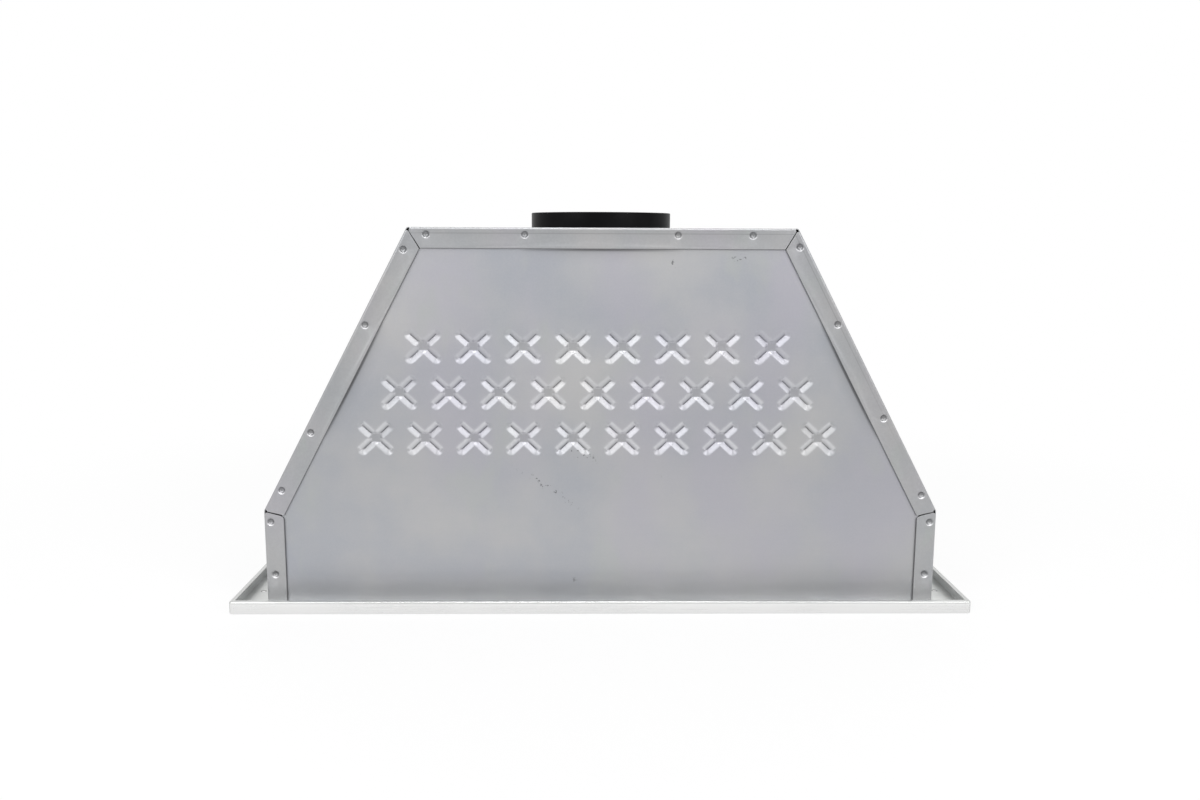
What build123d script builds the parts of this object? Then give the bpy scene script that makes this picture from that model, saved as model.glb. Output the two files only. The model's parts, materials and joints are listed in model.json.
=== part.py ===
from build123d import *
import os
from math import atan2, cos, degrees, hypot, radians, sin, tan

os.makedirs("parts", exist_ok=True)

# Range hood insert in millimetres: X across, Y to the rear, Z up, origin under the middle of the tray.

# Tray
tray_width = 720.0
tray_depth = 336.0
tray_sheet = 1.0
rim_height = 12.5
rim_lip = 5.0
rim_corner = 3.0
lip_corner = 1.5
rim_edge = 1.6
mount_radius = 2.25
mount_spacing_y = 208.0

# Casing
casing_margin = 29.0
casing_sheet = 0.8
casing_height = 370.0
shoulder_height = 95.0
casing_top_width = 370.0
bend_radius = 2.5
flange_width = 20.0
mitre_gap = 1.0
relief_radius = 1.9
relief_length = 2.5
side_foot = 12.0
panel_foot = 10.0
panel_gap = 0.3
foot_gap = 2.0

# Clinched dimples along the flanges: places from the top corners, from each end of the slopes
# and from each end of the upright sides
dimple_inset = 6.5
dimple_radius = 3.5
dimple_depth = 1.4
dimple_step = 0.1
dimple_taper = 30.0
dimple_gap = 0.3
dimples_top_left = (18.0, 111.0)
dimples_top_right = (43.0, 114.0)
dimples_left_low = (27.0, 92.0)
dimples_left_high = (20.0, 101.0)
dimples_right_low = (22.0, 109.0)
dimples_right_high = (16.0, 99.0)
dimple_foot = 29.5
dimple_foot_shift = 2.3
dimple_shoulder = 11.0

# Cross-shaped pressings
cross_counts = (10, 9, 8)
cross_pitch = 47.9
cross_row_pitch = 44.8
cross_first_row = 167.5
cross_shift = -4.5
cross_angle = 43.0
cross_length = 44.0
cross_width = 10.0
cross_floor_length = 37.0
cross_floor_width = 1.6
cross_depth = 2.8
cross_middle = 8.0
cross_middle_mouth = 15.0
cross_growth = 0.5

# Collar and damper
collar_radius = 74.0
collar_wall = 3.0
collar_rise = 16.0
collar_hole_gap = 0.5
collar_neck_cut = 1.2
collar_neck_rise = 0.2
collar_plate_margin = 10.0
collar_plate_thick = 3.0
collar_plate_corner = 10.0
ledge_width = 4.0
ledge_thick = 1.8
flap_gap = 0.4
flap_thick = 1.2
flap_edge_gap = 1.2
flap_start = 4.5
knuckle_radius = 2.6
knuckle_length = 14.0
knuckle_places = (34.0, 50.0)
damper_pin_radius = 1.5
pin_gap = 0.05
pin_inset = 0.5

# Blower
wheel_height = 205.0
wheel_radius = 95.0
wheel_eye = 78.0
blade_count = 40
blade_thick = 1.0
blade_lead = 7.0
blade_margin = 1.0
blade_belly = 1.0
blade_belly_lead = 1.2
wheel_disc = 2.0
wheel_ring = 11.0
wheel_gap = 6.0
volute_gap = 9.0
volute_step = 14.0
volute_depth = 104.0
volute_sheet = 1.0
volute_overhang = 5.0
tongue_offset = 12.0
tongue_radius = 8.0
outlet_flange = 14.0
screw_radius = 2.0
screw_head_radius = 3.8
screw_head = 2.2
screw_gap = 0.15
inlet_sheet = 1.0
inlet_flange = 12.0
inlet_bell = 5.5
shaft_radius = 5.0
shaft_gap = 0.05
hub_radius = 12.0
hub_length = 26.0
hub_clearance = 8.0
nut_flats = 16.0
nut_thick = 8.0

# Motor
bush_thick = 3.0
bush_radius = 7.0
bush_circle = 44.0
bush_angles = (90.0, 210.0, 330.0)
motor_radius = 52.0
motor_sheet = 2.0
motor_length = 57.0
cover_thick = 3.0
bearing_radius = 13.0
bearing_width = 8.0
boss_wall = 3.0
rotor_radius = 30.0
air_gap = 0.5
core_length = 26.0
winding_length = 5.5
winding_radius = 46.0
winding_bore = 34.0
stator_gap = 0.1
cover_bore_gap = 2.0
shaft_end_gap = 1.0
shaft_tip = 2.0
screw_tip = 1.0

# Filters in their well
well_side = 19.0
well_front_strip = 65.0
well_rear_strip = 17.0
well_height = 40.0
divider_width = 12.0
filter_side_gap = 1.0
filter_front_gap = 3.0
filter_bottom = 25.0
filter_height = 12.0
filter_sheet = 0.8
filter_border = 12.0
filter_front_border = 30.0
bead_radius = 2.5
bead_gap = 0.3
bead_height = 27.5
rail_sheet = 1.0
rail_seat = 0.2
web_thick = 1.0
web_length = 1.5
rail_overlap = 0.4
rail_start = -70.0
rail_sweep = 170.0
baffle_count = 9
baffle_pitch = 32.0
baffle_width = 21.0
baffle_leg = 6.4
baffle_sheet = 0.7
baffle_seat = 6.0
handle_span = 96.0
handle_radius = 3.0
handle_centre = 8.0
handle_corner = 9.0
handle_inset = 13.0
clip_width = 18.0
clip_sheet = 0.6
clip_gap = 0.6
clip_lift = 1.0
clip_height = 10.0
clip_bend = 8.0
clip_nose_low = 3.5
clip_nose_high = 4.5
clip_offset = 80.0

# Front strip with controls and lamps
strip_depth = 37.0
bezel_width = 160.0
bezel_depth = 36.0
bezel_thick = 2.0
slot_width = 148.0
slot_depth = 24.0
slot_gap = 0.2
button_count = 5
button_pitch = 25.0
button_radius = 7.2
button_gap = 0.3
button_face = 0.3
button_top = 8.0
button_flange = 1.3
button_thick = 1.2
button_travel = 2.0
switch_size = 6.0
switch_height = 2.6
switch_gap = 0.3
board_thick = 1.6
post_radius = 3.0
post_inset_x = 8.0
post_inset_y = 5.0
board_margin_x = 4.0
board_margin_y = 2.0
button_edge = 0.5
cover_width = 184.0
cover_depth = 47.0
cover_height = 30.0
cover_sheet = 1.0
cover_foot = 12.0
cover_foot_width = 24.0
lamp_side = 71.0
lamp_radius = 23.0
lamp_gap = 0.3
lamp_flange = 3.0
lamp_flange_thick = 1.2
lamp_wall = 1.5
lamp_height = 20.0
lens_thick = 2.7
lens_edge = 0.6
lamp_seat = 2.0
led_circle = 12.0
led_count = 6
led_size = 3.0
led_rise = 1.0
tab_width = 12.0
tab_length = 9.0
tab_sheet = 0.8
tab_reach = 1.2

# Electrics on the rear panel
box_left = 150.0
box_width = 120.0
box_bottom = 62.0
box_height = 80.0
box_depth = 40.0
box_wall = 1.2
box_post = 10.0
box_post_x = 14.0
box_post_z = 12.0
lid_gap = 0.2
lid_lip = 4.0
lid_lip_wall = 1.2
circuit_margin_x = 8.0
circuit_margin_z = 7.0
relay_width = 16.0
relay_height = 20.0
relay_pitch = 22.0
relay_count = 3
relay_x = -12.0
relay_z = 14.0
transformer_width = 20.0
transformer_height = 24.0
transformer_x = 36.0
circuit_rise = 14.0
terminal_count = 5
terminal_pitch = 12.0
terminal_height = 16.0
terminal_rise = 12.0
terminal_hole = 2.5
terminal_hole_depth = 5.0
terminal_z = -20.0
gland_x = 222.0
gland_z = 82.0
gland_bore = 4.5
gland_radius = 8.0
gland_gap = 0.2
gland_flange = 12.0
gland_rise = 14.0
gland_hex = 5.0
gland_dome_step = 1.0
gland_taper = 12.0
gland_nut_thick = 5.0
capacitor_x = -230.0
capacitor_z = 100.0
capacitor_radius = 17.0
capacitor_length = 60.0
capacitor_edge = 1.5
tag_length = 9.0
tag_width = 6.0
tag_thick = 1.0
tag_offset = 6.0
clamp_gap = 0.2
clamp_sheet = 1.2
clamp_width = 16.0
clamp_foot = 14.0
foot_rivet_radius = 2.4
foot_rivet_head = 3.8
foot_rivet_rise = 1.2
foot_rivet_taper = 30.0
foot_rivet_side_y = 70.0
foot_rivet_inner = 150.0
foot_rivet_edge = 41.0

# Worked out from the sizes above
casing_width = tray_width - 2 * casing_margin
casing_depth = tray_depth - 2 * casing_margin
front_y = -casing_depth / 2
panel_front = front_y + casing_sheet
panel_back = panel_front + casing_sheet
lean = degrees(atan2((casing_width - casing_top_width) / 2, casing_height - shoulder_height))
ceiling = casing_height - casing_sheet
collar_plate = 2 * (collar_radius + collar_plate_margin)
plate_bottom = ceiling - collar_plate_thick
outlet_top = plate_bottom - volute_sheet
collar_inner = collar_radius - collar_wall
damper_z = ceiling + ledge_thick + flap_gap + flap_thick / 2
volute_radius = wheel_radius + volute_gap
outlet_width = volute_step + volute_radius + 2 * volute_step - tongue_offset
wheel_x = -(tongue_offset + outlet_width / 2)
wheel_back = volute_depth / 2 - wheel_gap - wheel_disc
wheel_front = -volute_depth / 2 + wheel_gap
plate_y = volute_depth / 2 + volute_sheet
cover_y = plate_y + bush_thick
shell_y = cover_y + cover_thick
motor_end = shell_y + motor_length
core_y = (shell_y + motor_end - motor_sheet) / 2 - core_length / 2
rear_inner = -panel_back
well_width = casing_width - 2 * well_side
well_front = front_y + well_front_strip
well_rear = -front_y - well_rear_strip
well_y = (well_front + well_rear) / 2
well_depth = well_rear - well_front
strip_y = front_y + strip_depth
lamp_distance = casing_width / 2 - lamp_side
hinge_y = well_rear - bead_radius - bead_gap - rail_sheet - rail_seat
filter_width = (well_width - divider_width) / 2 - 2 * filter_side_gap
filter_x = divider_width / 2 + filter_side_gap + filter_width / 2
filter_front = well_front + filter_front_gap
filter_rear = hinge_y - bead_radius - web_length
filter_depth = filter_rear - filter_front
filter_y = (filter_front + filter_rear) / 2
window_front = filter_front + filter_front_border
window_rear = filter_rear - filter_border
handle_y = filter_front + handle_inset
bezel_top = tray_sheet + bezel_thick
switch_bottom = button_top + button_travel + switch_gap
board_z = switch_bottom + switch_height
mount_x = casing_width / 2 + casing_margin / 2
mount_points = [(x, y) for x in (-mount_x, mount_x) for y in (-mount_spacing_y / 2, mount_spacing_y / 2)]
lamp_points = [(-lamp_distance, strip_y), (lamp_distance, strip_y)]
button_points = [((i - (button_count - 1) / 2) * button_pitch, strip_y) for i in range(button_count)]
post_x = bezel_width / 2 - post_inset_x
post_y = bezel_depth / 2 - post_inset_y
post_points = [(x, strip_y + y) for x in (-post_x, post_x) for y in (-post_y, post_y)]
side_foot_x = casing_width / 2 - side_foot / 2
panel_foot_y = casing_depth / 2 - casing_sheet - panel_foot / 2
foot_rivet_outer = casing_width / 2 - foot_rivet_edge
foot_points = []
for side in (-1, 1):
    for end in (-1, 1):
        foot_points.append((side * side_foot_x, end * foot_rivet_side_y))
        foot_points.append((side * foot_rivet_inner, end * panel_foot_y))
        foot_points.append((side * foot_rivet_outer, end * panel_foot_y))


def keep(builder, name):
    """Labels a finished piece and writes it to its own file."""
    builder.part.label = name
    export_step(builder.part, f"parts/{name}.step")


def facing(y):
    """Sketch plane at depth y with X across and Z up; positive extrusions come to the front."""
    return Plane.XZ.offset(-y)


def casing_outline(inset):
    """Points of the casing outline in X and Z, moved inwards, from left foot to right foot."""
    half_foot = casing_width / 2 - inset
    half_top = casing_top_width / 2 - inset * tan(radians(90 - lean) / 2)
    shoulder = shoulder_height - inset * tan(radians(lean) / 2)
    right = [(half_top, casing_height - inset), (half_foot, shoulder), (half_foot, tray_sheet)]
    return [(-x, z) for x, z in reversed(right)] + right


def casing_face(inset, radius, mode=Mode.ADD):
    """Face inside the casing outline, added to the sketch in work."""
    with BuildLine() as outline:
        edge = FilletPolyline(*casing_outline(inset), radius=radius)
        Line(edge @ 1, edge @ 0)
    make_face(outline.edges(), mode=mode)


def slope_point(along, side):
    """Dimple centre at a distance up the left (-1) or right (1) slope."""
    x = casing_width / 2 - along * sin(radians(lean)) - dimple_inset * cos(radians(lean))
    z = shoulder_height + along * cos(radians(lean)) - dimple_inset * sin(radians(lean))
    return (side * x, z)


def cross_tool(start, growth):
    """One cross pressing as a solid with its mouth in the plane at depth start."""
    with BuildPart() as tool:
        for turn in (-cross_angle, cross_angle):
            with BuildSketch(facing(start)):
                SlotOverall(cross_length + growth, cross_width + growth, rotation=turn)
            with BuildSketch(facing(start + cross_depth)):
                SlotOverall(cross_floor_length + growth, cross_floor_width + growth, rotation=turn)
            loft(ruled=True)
        with BuildSketch(facing(start)):
            Rectangle(cross_middle_mouth + growth, cross_middle_mouth + growth)
        with BuildSketch(facing(start + cross_depth)):
            Rectangle(cross_middle + growth, cross_middle + growth)
        loft(ruled=True)
    return tool.part


dimple_top_z = casing_height - dimple_inset
dimple_points = [(x - casing_top_width / 2, dimple_top_z) for x in dimples_top_left]
dimple_points += [(casing_top_width / 2 - x, dimple_top_z) for x in dimples_top_right]
slope_length = hypot((casing_width - casing_top_width) / 2, casing_height - shoulder_height)
dimple_points += [slope_point(s, -1) for s in dimples_left_low]
dimple_points += [slope_point(slope_length - s, -1) for s in dimples_left_high]
dimple_points += [slope_point(s, 1) for s in dimples_right_low]
dimple_points += [slope_point(slope_length - s, 1) for s in dimples_right_high]
dimple_side_x = casing_width / 2 - dimple_inset
for side in (-1, 1):
    dimple_points.append((side * (dimple_side_x - dimple_foot_shift), tray_sheet + dimple_foot))
    dimple_points.append((side * dimple_side_x, shoulder_height - dimple_shoulder))
cross_points = []
for row, count in enumerate(cross_counts):
    for i in range(count):
        x = cross_shift + (i - (count - 1) / 2) * cross_pitch
        cross_points.append((x, 0, cross_first_row + row * cross_row_pitch))

# Tray with turned-in rim and the upturned walls of the filter well
with BuildPart() as tray:
    with BuildSketch():
        RectangleRounded(tray_width, tray_depth, rim_corner)
    extrude(amount=rim_height)
    fillet(tray.faces().sort_by(Axis.Z)[-1].edges(), rim_edge)
    fillet(tray.faces().sort_by(Axis.Z)[0].edges(), rim_edge)
    with BuildSketch(Plane.XY.offset(tray_sheet)):
        RectangleRounded(tray_width - 2 * tray_sheet, tray_depth - 2 * tray_sheet, rim_corner - tray_sheet)
    extrude(amount=rim_height - 2 * tray_sheet, mode=Mode.SUBTRACT)
    with BuildSketch(Plane.XY.offset(tray_sheet)):
        RectangleRounded(tray_width - 2 * rim_lip, tray_depth - 2 * rim_lip, lip_corner)
    extrude(amount=rim_height, mode=Mode.SUBTRACT)
    with BuildSketch():
        with Locations((0, well_y)):
            Rectangle(well_width + 2 * tray_sheet, well_depth + 2 * tray_sheet)
    extrude(amount=well_height)
    with BuildSketch():
        with Locations((0, well_y)):
            Rectangle(well_width, well_depth)
    extrude(amount=well_height, mode=Mode.SUBTRACT)
    with BuildSketch():
        with Locations((0, strip_y)):
            Rectangle(slot_width, slot_depth)
        with Locations(*lamp_points):
            Circle(lamp_radius)
        with Locations(*mount_points):
            Circle(mount_radius)
        with Locations(*foot_points):
            Circle(foot_rivet_radius + screw_gap)
    extrude(amount=tray_sheet, mode=Mode.SUBTRACT)
keep(tray, "tray")

# Casing wrap: front half with flange, feet, relief holes and dimples, then mirrored to the rear
with BuildPart() as casing_wrap:
    with BuildSketch(facing(front_y)):
        casing_face(0, bend_radius)
        casing_face(casing_sheet, bend_radius - casing_sheet, Mode.SUBTRACT)
    extrude(amount=front_y)
    with BuildSketch(facing(front_y)):
        casing_face(0, bend_radius)
        casing_face(flange_width, bend_radius, Mode.SUBTRACT)
        for (x0, z0), (x1, z1) in zip(casing_outline(0)[1:-1], casing_outline(flange_width)[1:-1]):
            with Locations(((x0 + x1) / 2, (z0 + z1) / 2)):
                turn = degrees(atan2(z1 - z0, x1 - x0))
                length = hypot(x1 - x0, z1 - z0) + 2 * flange_width
                Rectangle(length, mitre_gap, rotation=turn, mode=Mode.SUBTRACT)
    extrude(amount=-casing_sheet)
    with BuildSketch(facing(front_y)):
        with Locations(*casing_outline(bend_radius / 2)[1:-1]):
            Circle(relief_radius)
    extrude(amount=-relief_length, mode=Mode.SUBTRACT)
    with BuildSketch(facing(front_y + casing_sheet)):
        with Locations(*dimple_points):
            Circle(dimple_radius)
    extrude(amount=-dimple_depth, taper=dimple_taper)
    with BuildSketch(facing(front_y)):
        with Locations(*dimple_points):
            Circle(dimple_radius - dimple_step)
    extrude(amount=-dimple_depth, taper=dimple_taper, mode=Mode.SUBTRACT)
    with BuildSketch(Plane.XY.offset(tray_sheet)):
        foot_y = (front_y + flange_width) / 2
        with Locations((-side_foot_x, foot_y), (side_foot_x, foot_y)):
            Rectangle(side_foot, -front_y - flange_width)
    extrude(amount=casing_sheet)
    mirror(about=Plane.XZ)
    with BuildSketch(Plane.XY.offset(ceiling)):
        Circle(collar_radius + collar_hole_gap)
    extrude(amount=casing_sheet, mode=Mode.SUBTRACT)
    with BuildSketch(Plane.XY.offset(tray_sheet)):
        with Locations(*foot_points):
            Circle(foot_rivet_radius + screw_gap)
    extrude(amount=casing_sheet, mode=Mode.SUBTRACT)
keep(casing_wrap, "casing_wrap")

# Front panel with pressings, holes for the clinched dimples and a foot on the tray
boss = cross_tool(panel_back, cross_growth)
groove = cross_tool(panel_front, 0)
with BuildPart() as front_panel:
    with BuildSketch(facing(panel_front)):
        casing_face(casing_sheet + panel_gap, bend_radius)
    extrude(amount=-casing_sheet)
    with Locations(*cross_points):
        add(boss)
    with Locations(*cross_points):
        add(groove, mode=Mode.SUBTRACT)
    with BuildSketch(facing(panel_front)):
        with Locations(*dimple_points):
            Circle(dimple_radius + dimple_gap)
    extrude(amount=-casing_sheet, mode=Mode.SUBTRACT)
    with BuildSketch(Plane.XY.offset(tray_sheet)):
        with Locations((0, -panel_foot_y)):
            Rectangle(casing_width - 2 * (side_foot + foot_gap), panel_foot)
        with Locations(*foot_points):
            Circle(foot_rivet_radius + screw_gap, mode=Mode.SUBTRACT)
    extrude(amount=casing_sheet)
keep(front_panel, "front_panel")

# Rear panel: the same pressing turned round, with the cable hole
with BuildPart() as rear_panel:
    mirror(front_panel.part, about=Plane.XZ)
    with BuildSketch(facing(rear_inner)):
        with Locations((gland_x, gland_z)):
            Circle(gland_radius + gland_gap)
    extrude(amount=-casing_sheet, mode=Mode.SUBTRACT)
keep(rear_panel, "rear_panel")

# Rivets through the casing feet and the tray floor, flush below
with BuildPart() as foot_rivets:
    with BuildSketch():
        with Locations(*foot_points):
            Circle(foot_rivet_radius)
    extrude(amount=tray_sheet + casing_sheet)
    with BuildSketch(Plane.XY.offset(tray_sheet + casing_sheet)):
        with Locations(*foot_points):
            Circle(foot_rivet_head)
    extrude(amount=foot_rivet_rise, taper=foot_rivet_taper)
keep(foot_rivets, "foot_rivets")

# Collar: square plate under the casing top, round spigot, ledge for the flaps, bore for the pin
screw_points = [
    (x * (outlet_width + outlet_flange) / 2, y * (volute_depth + outlet_flange) / 2)
    for x in (-1, 1) for y in (-1, 1)
]
with BuildPart() as duct_collar:
    with BuildSketch(Plane.XY.offset(plate_bottom)):
        RectangleRounded(collar_plate, collar_plate, collar_plate_corner)
        with Locations(*screw_points):
            Circle(screw_radius + screw_gap, mode=Mode.SUBTRACT)
    extrude(amount=collar_plate_thick)
    with BuildSketch(Plane.XY.offset(ceiling)):
        Circle(collar_radius)
    extrude(amount=casing_sheet + collar_rise)
    with BuildSketch(Plane.XY.offset(ceiling)):
        Circle(collar_radius)
        Circle(collar_radius - collar_neck_cut, mode=Mode.SUBTRACT)
    extrude(amount=casing_sheet + collar_neck_rise, mode=Mode.SUBTRACT)
    with BuildSketch(Plane.XY.offset(plate_bottom)):
        Circle(collar_inner - ledge_width)
    extrude(amount=collar_rise * 2, mode=Mode.SUBTRACT)
    with BuildSketch(Plane.XY.offset(ceiling + ledge_thick)):
        Circle(collar_inner)
    extrude(amount=collar_rise, mode=Mode.SUBTRACT)
    with BuildSketch(facing(collar_radius)):
        with Locations((0, damper_z)):
            Circle(damper_pin_radius + pin_gap)
    extrude(amount=2 * collar_radius, mode=Mode.SUBTRACT)
keep(duct_collar, "duct_collar")

pin_half = collar_radius - pin_inset
with BuildPart() as damper_pin:
    with BuildSketch(facing(pin_half)):
        with Locations((0, damper_z)):
            Circle(damper_pin_radius)
    extrude(amount=2 * pin_half)
keep(damper_pin, "damper_pin")


def damper_flap(name, side):
    """Half-disc flap on the left (-1) or right (1) of the pin, with its own two knuckles."""
    near, far = knuckle_places
    places = (near, -far) if side < 0 else (-near, far)
    with BuildPart() as flap:
        with BuildSketch(Plane.XY.offset(damper_z - flap_thick / 2)):
            Circle(collar_inner - flap_edge_gap)
            with Locations((-side * (collar_radius - flap_start), 0)):
                Rectangle(2 * collar_radius, 2 * collar_radius, mode=Mode.SUBTRACT)
            for y in places:
                with Locations((side * flap_start, y)):
                    Rectangle(2 * flap_start, knuckle_length)
        extrude(amount=flap_thick)
        for y in places:
            with BuildSketch(facing(y + knuckle_length / 2)):
                with Locations((0, damper_z)):
                    Circle(knuckle_radius)
            extrude(amount=knuckle_length)
        with BuildSketch(facing(collar_radius)):
            with Locations((0, damper_z)):
                Circle(damper_pin_radius + pin_gap)
        extrude(amount=2 * collar_radius, mode=Mode.SUBTRACT)
    keep(flap, name)


damper_flap("damper_flap_left", -1)
damper_flap("damper_flap_right", 1)

# Screws from below through outlet frame, collar plate and casing top
with BuildPart() as collar_screws:
    with BuildSketch(Plane.XY.offset(outlet_top - screw_head)):
        with Locations(*screw_points):
            Circle(screw_head_radius)
    extrude(amount=screw_head)
    with BuildSketch(Plane.XY.offset(outlet_top)):
        with Locations(*screw_points):
            Circle(screw_radius)
    extrude(amount=ceiling - outlet_top)
keep(collar_screws, "collar_screws")

with BuildPart() as outlet_frame:
    with BuildSketch(Plane.XY.offset(outlet_top)):
        Rectangle(outlet_width + 2 * outlet_flange, volute_depth + 2 * outlet_flange)
        Rectangle(outlet_width, volute_depth, mode=Mode.SUBTRACT)
        with Locations(*screw_points):
            Circle(screw_radius + screw_gap, mode=Mode.SUBTRACT)
    extrude(amount=volute_sheet)
keep(outlet_frame, "outlet_frame")


def volute_face(grow, mode=Mode.ADD):
    """Scroll outline in X and Z, grown outwards, open height up to the outlet."""
    left = -outlet_width / 2
    right = outlet_width / 2
    tongue_z = wheel_height + volute_radius
    step = volute_step
    with BuildLine() as outline:
        down = Line((left - grow, outlet_top), (left - grow, tongue_z + tongue_radius))
        curl = CenterArc((left - tongue_radius, tongue_z + tongue_radius), tongue_radius - grow, 0, -90)
        Line(curl @ 1, (wheel_x, tongue_z + grow))
        CenterArc((wheel_x, wheel_height), volute_radius + grow, 90, 90)
        CenterArc((wheel_x + step, wheel_height), volute_radius + step + grow, 180, 90)
        turn = CenterArc((wheel_x + step, wheel_height + step), volute_radius + 2 * step + grow, 270, 90)
        Line(turn @ 1, (right + grow, outlet_top))
        Line((right + grow, outlet_top), down @ 0)
    make_face(outline.edges(), mode=mode)


with BuildPart() as volute_band:
    with BuildSketch(facing(volute_depth / 2)):
        volute_face(volute_sheet)
        volute_face(0, Mode.SUBTRACT)
    extrude(amount=volute_depth)
keep(volute_band, "volute_band")

bush_points = [
    (wheel_x + bush_circle * cos(radians(a)), wheel_height + bush_circle * sin(radians(a)))
    for a in bush_angles
]
with BuildPart() as volute_front_plate:
    with BuildSketch(facing(-volute_depth / 2)):
        volute_face(volute_overhang)
        with Locations((wheel_x, wheel_height)):
            Circle(wheel_eye + inlet_bell, mode=Mode.SUBTRACT)
    extrude(amount=volute_sheet)
keep(volute_front_plate, "volute_front_plate")

with BuildPart() as volute_back_plate:
    with BuildSketch(facing(plate_y)):
        volute_face(volute_overhang)
        with Locations((wheel_x, wheel_height)):
            Circle(hub_radius + hub_clearance, mode=Mode.SUBTRACT)
        with Locations(*bush_points):
            Circle(screw_radius + screw_gap, mode=Mode.SUBTRACT)
    extrude(amount=volute_sheet)
keep(volute_back_plate, "volute_back_plate")

bell_y = -plate_y - inlet_sheet / 2
bell_radius = wheel_eye - inlet_sheet / 2
with BuildPart() as inlet_ring:
    with BuildSketch(Plane.XY.offset(wheel_height)):
        with BuildLine():
            rim_start = (wheel_x + bell_radius + inlet_bell + inlet_flange, bell_y)
            flat = Line(rim_start, (wheel_x + bell_radius + inlet_bell, bell_y))
            JernArc(flat @ 1, flat % 1, inlet_bell, -90)
        trace(line_width=inlet_sheet)
    revolve(axis=Axis((wheel_x, 0, wheel_height), (0, 1, 0)))
keep(inlet_ring, "inlet_ring")

# Wheel with forward-curved blades between the back disc and the front ring
blade_half = (wheel_radius - wheel_eye) / 2 - blade_margin
blade_curve = ThreePointArc((-blade_half, 0), (blade_belly, blade_belly_lead), (blade_half, blade_lead))
with BuildPart() as wheel_blades:
    with BuildSketch(facing(wheel_back)):
        with Locations((wheel_x, wheel_height)):
            with PolarLocations((wheel_radius + wheel_eye) / 2, blade_count):
                SlotArc(blade_curve, blade_thick)
    extrude(amount=wheel_back - wheel_front - wheel_disc)
keep(wheel_blades, "wheel_blades")

with BuildPart() as wheel_end_ring:
    with BuildSketch(facing(wheel_front)):
        with Locations((wheel_x, wheel_height)):
            Circle(wheel_radius)
            Circle(wheel_radius - wheel_ring, mode=Mode.SUBTRACT)
    extrude(amount=-wheel_disc)
keep(wheel_end_ring, "wheel_end_ring")

with BuildPart() as wheel_back_disc:
    with BuildSketch(facing(wheel_back + wheel_disc)):
        with Locations((wheel_x, wheel_height)):
            Circle(wheel_radius)
    extrude(amount=wheel_disc)
    with BuildSketch(facing(wheel_back)):
        with Locations((wheel_x, wheel_height)):
            Circle(hub_radius)
    extrude(amount=hub_length)
    with BuildSketch(facing(wheel_back + wheel_disc)):
        with Locations((wheel_x, wheel_height)):
            Circle(shaft_radius + shaft_gap)
    extrude(amount=hub_length + wheel_disc, mode=Mode.SUBTRACT)
keep(wheel_back_disc, "wheel_back_disc")

hub_front = wheel_back - hub_length
with BuildPart() as wheel_nut:
    with BuildSketch(facing(hub_front)):
        with Locations((wheel_x, wheel_height)):
            RegularPolygon(nut_flats / 2, 6, major_radius=False)
            Circle(shaft_radius + shaft_gap, mode=Mode.SUBTRACT)
    extrude(amount=nut_thick)
keep(wheel_nut, "wheel_nut")

# Motor behind the back plate
shaft_end = motor_end - motor_sheet - shaft_end_gap
with BuildPart() as motor_shaft:
    with BuildSketch(facing(shaft_end)):
        with Locations((wheel_x, wheel_height)):
            Circle(shaft_radius)
    extrude(amount=shaft_end - hub_front + nut_thick + shaft_tip)
keep(motor_shaft, "motor_shaft")


def motor_tube(name, front, length, outer, inner):
    """Plain ring around the motor axis from a front depth."""
    with BuildPart() as tube:
        for start in front:
            with BuildSketch(facing(start)):
                with Locations((wheel_x, wheel_height)):
                    Circle(outer)
                    Circle(inner, mode=Mode.SUBTRACT)
            extrude(amount=-length)
    keep(tube, name)


rear_wall = motor_end - motor_sheet
motor_tube("motor_rotor", [core_y], core_length, rotor_radius, shaft_radius + shaft_gap)
stator_radius = motor_radius - motor_sheet - stator_gap
motor_tube("motor_stator", [core_y], core_length, stator_radius, rotor_radius + air_gap)
winding_fronts = [core_y - winding_length, core_y + core_length]
motor_tube("motor_windings", winding_fronts, winding_length, winding_radius, winding_bore)
bearing_fronts = [shell_y, rear_wall - bearing_width]
motor_tube("motor_bearings", bearing_fronts, bearing_width, bearing_radius, shaft_radius + shaft_gap)

with BuildPart() as motor_case:
    with BuildSketch(facing(shell_y)):
        with Locations((wheel_x, wheel_height)):
            Circle(motor_radius)
    extrude(amount=-motor_length)
    with BuildSketch(facing(shell_y)):
        with Locations((wheel_x, wheel_height)):
            Circle(motor_radius - motor_sheet)
    extrude(amount=-motor_length + motor_sheet, mode=Mode.SUBTRACT)
    with BuildSketch(facing(rear_wall)):
        with Locations((wheel_x, wheel_height)):
            Circle(bearing_radius + shaft_gap + boss_wall)
            Circle(bearing_radius + shaft_gap, mode=Mode.SUBTRACT)
    extrude(amount=bearing_width)
keep(motor_case, "motor_case")

with BuildPart() as motor_cover:
    with BuildSketch(facing(cover_y)):
        with Locations((wheel_x, wheel_height)):
            Circle(motor_radius)
            Circle(shaft_radius + cover_bore_gap, mode=Mode.SUBTRACT)
        with Locations(*bush_points):
            Circle(screw_radius + shaft_gap, mode=Mode.SUBTRACT)
    extrude(amount=-cover_thick)
    with BuildSketch(facing(shell_y)):
        with Locations((wheel_x, wheel_height)):
            Circle(bearing_radius + shaft_gap + boss_wall)
            Circle(bearing_radius + shaft_gap, mode=Mode.SUBTRACT)
    extrude(amount=-bearing_width)
keep(motor_cover, "motor_cover")

with BuildPart() as motor_bushes:
    with BuildSketch(facing(plate_y)):
        with Locations(*bush_points):
            Circle(bush_radius)
            Circle(screw_radius + screw_gap, mode=Mode.SUBTRACT)
    extrude(amount=-bush_thick)
keep(motor_bushes, "motor_bushes")

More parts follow.
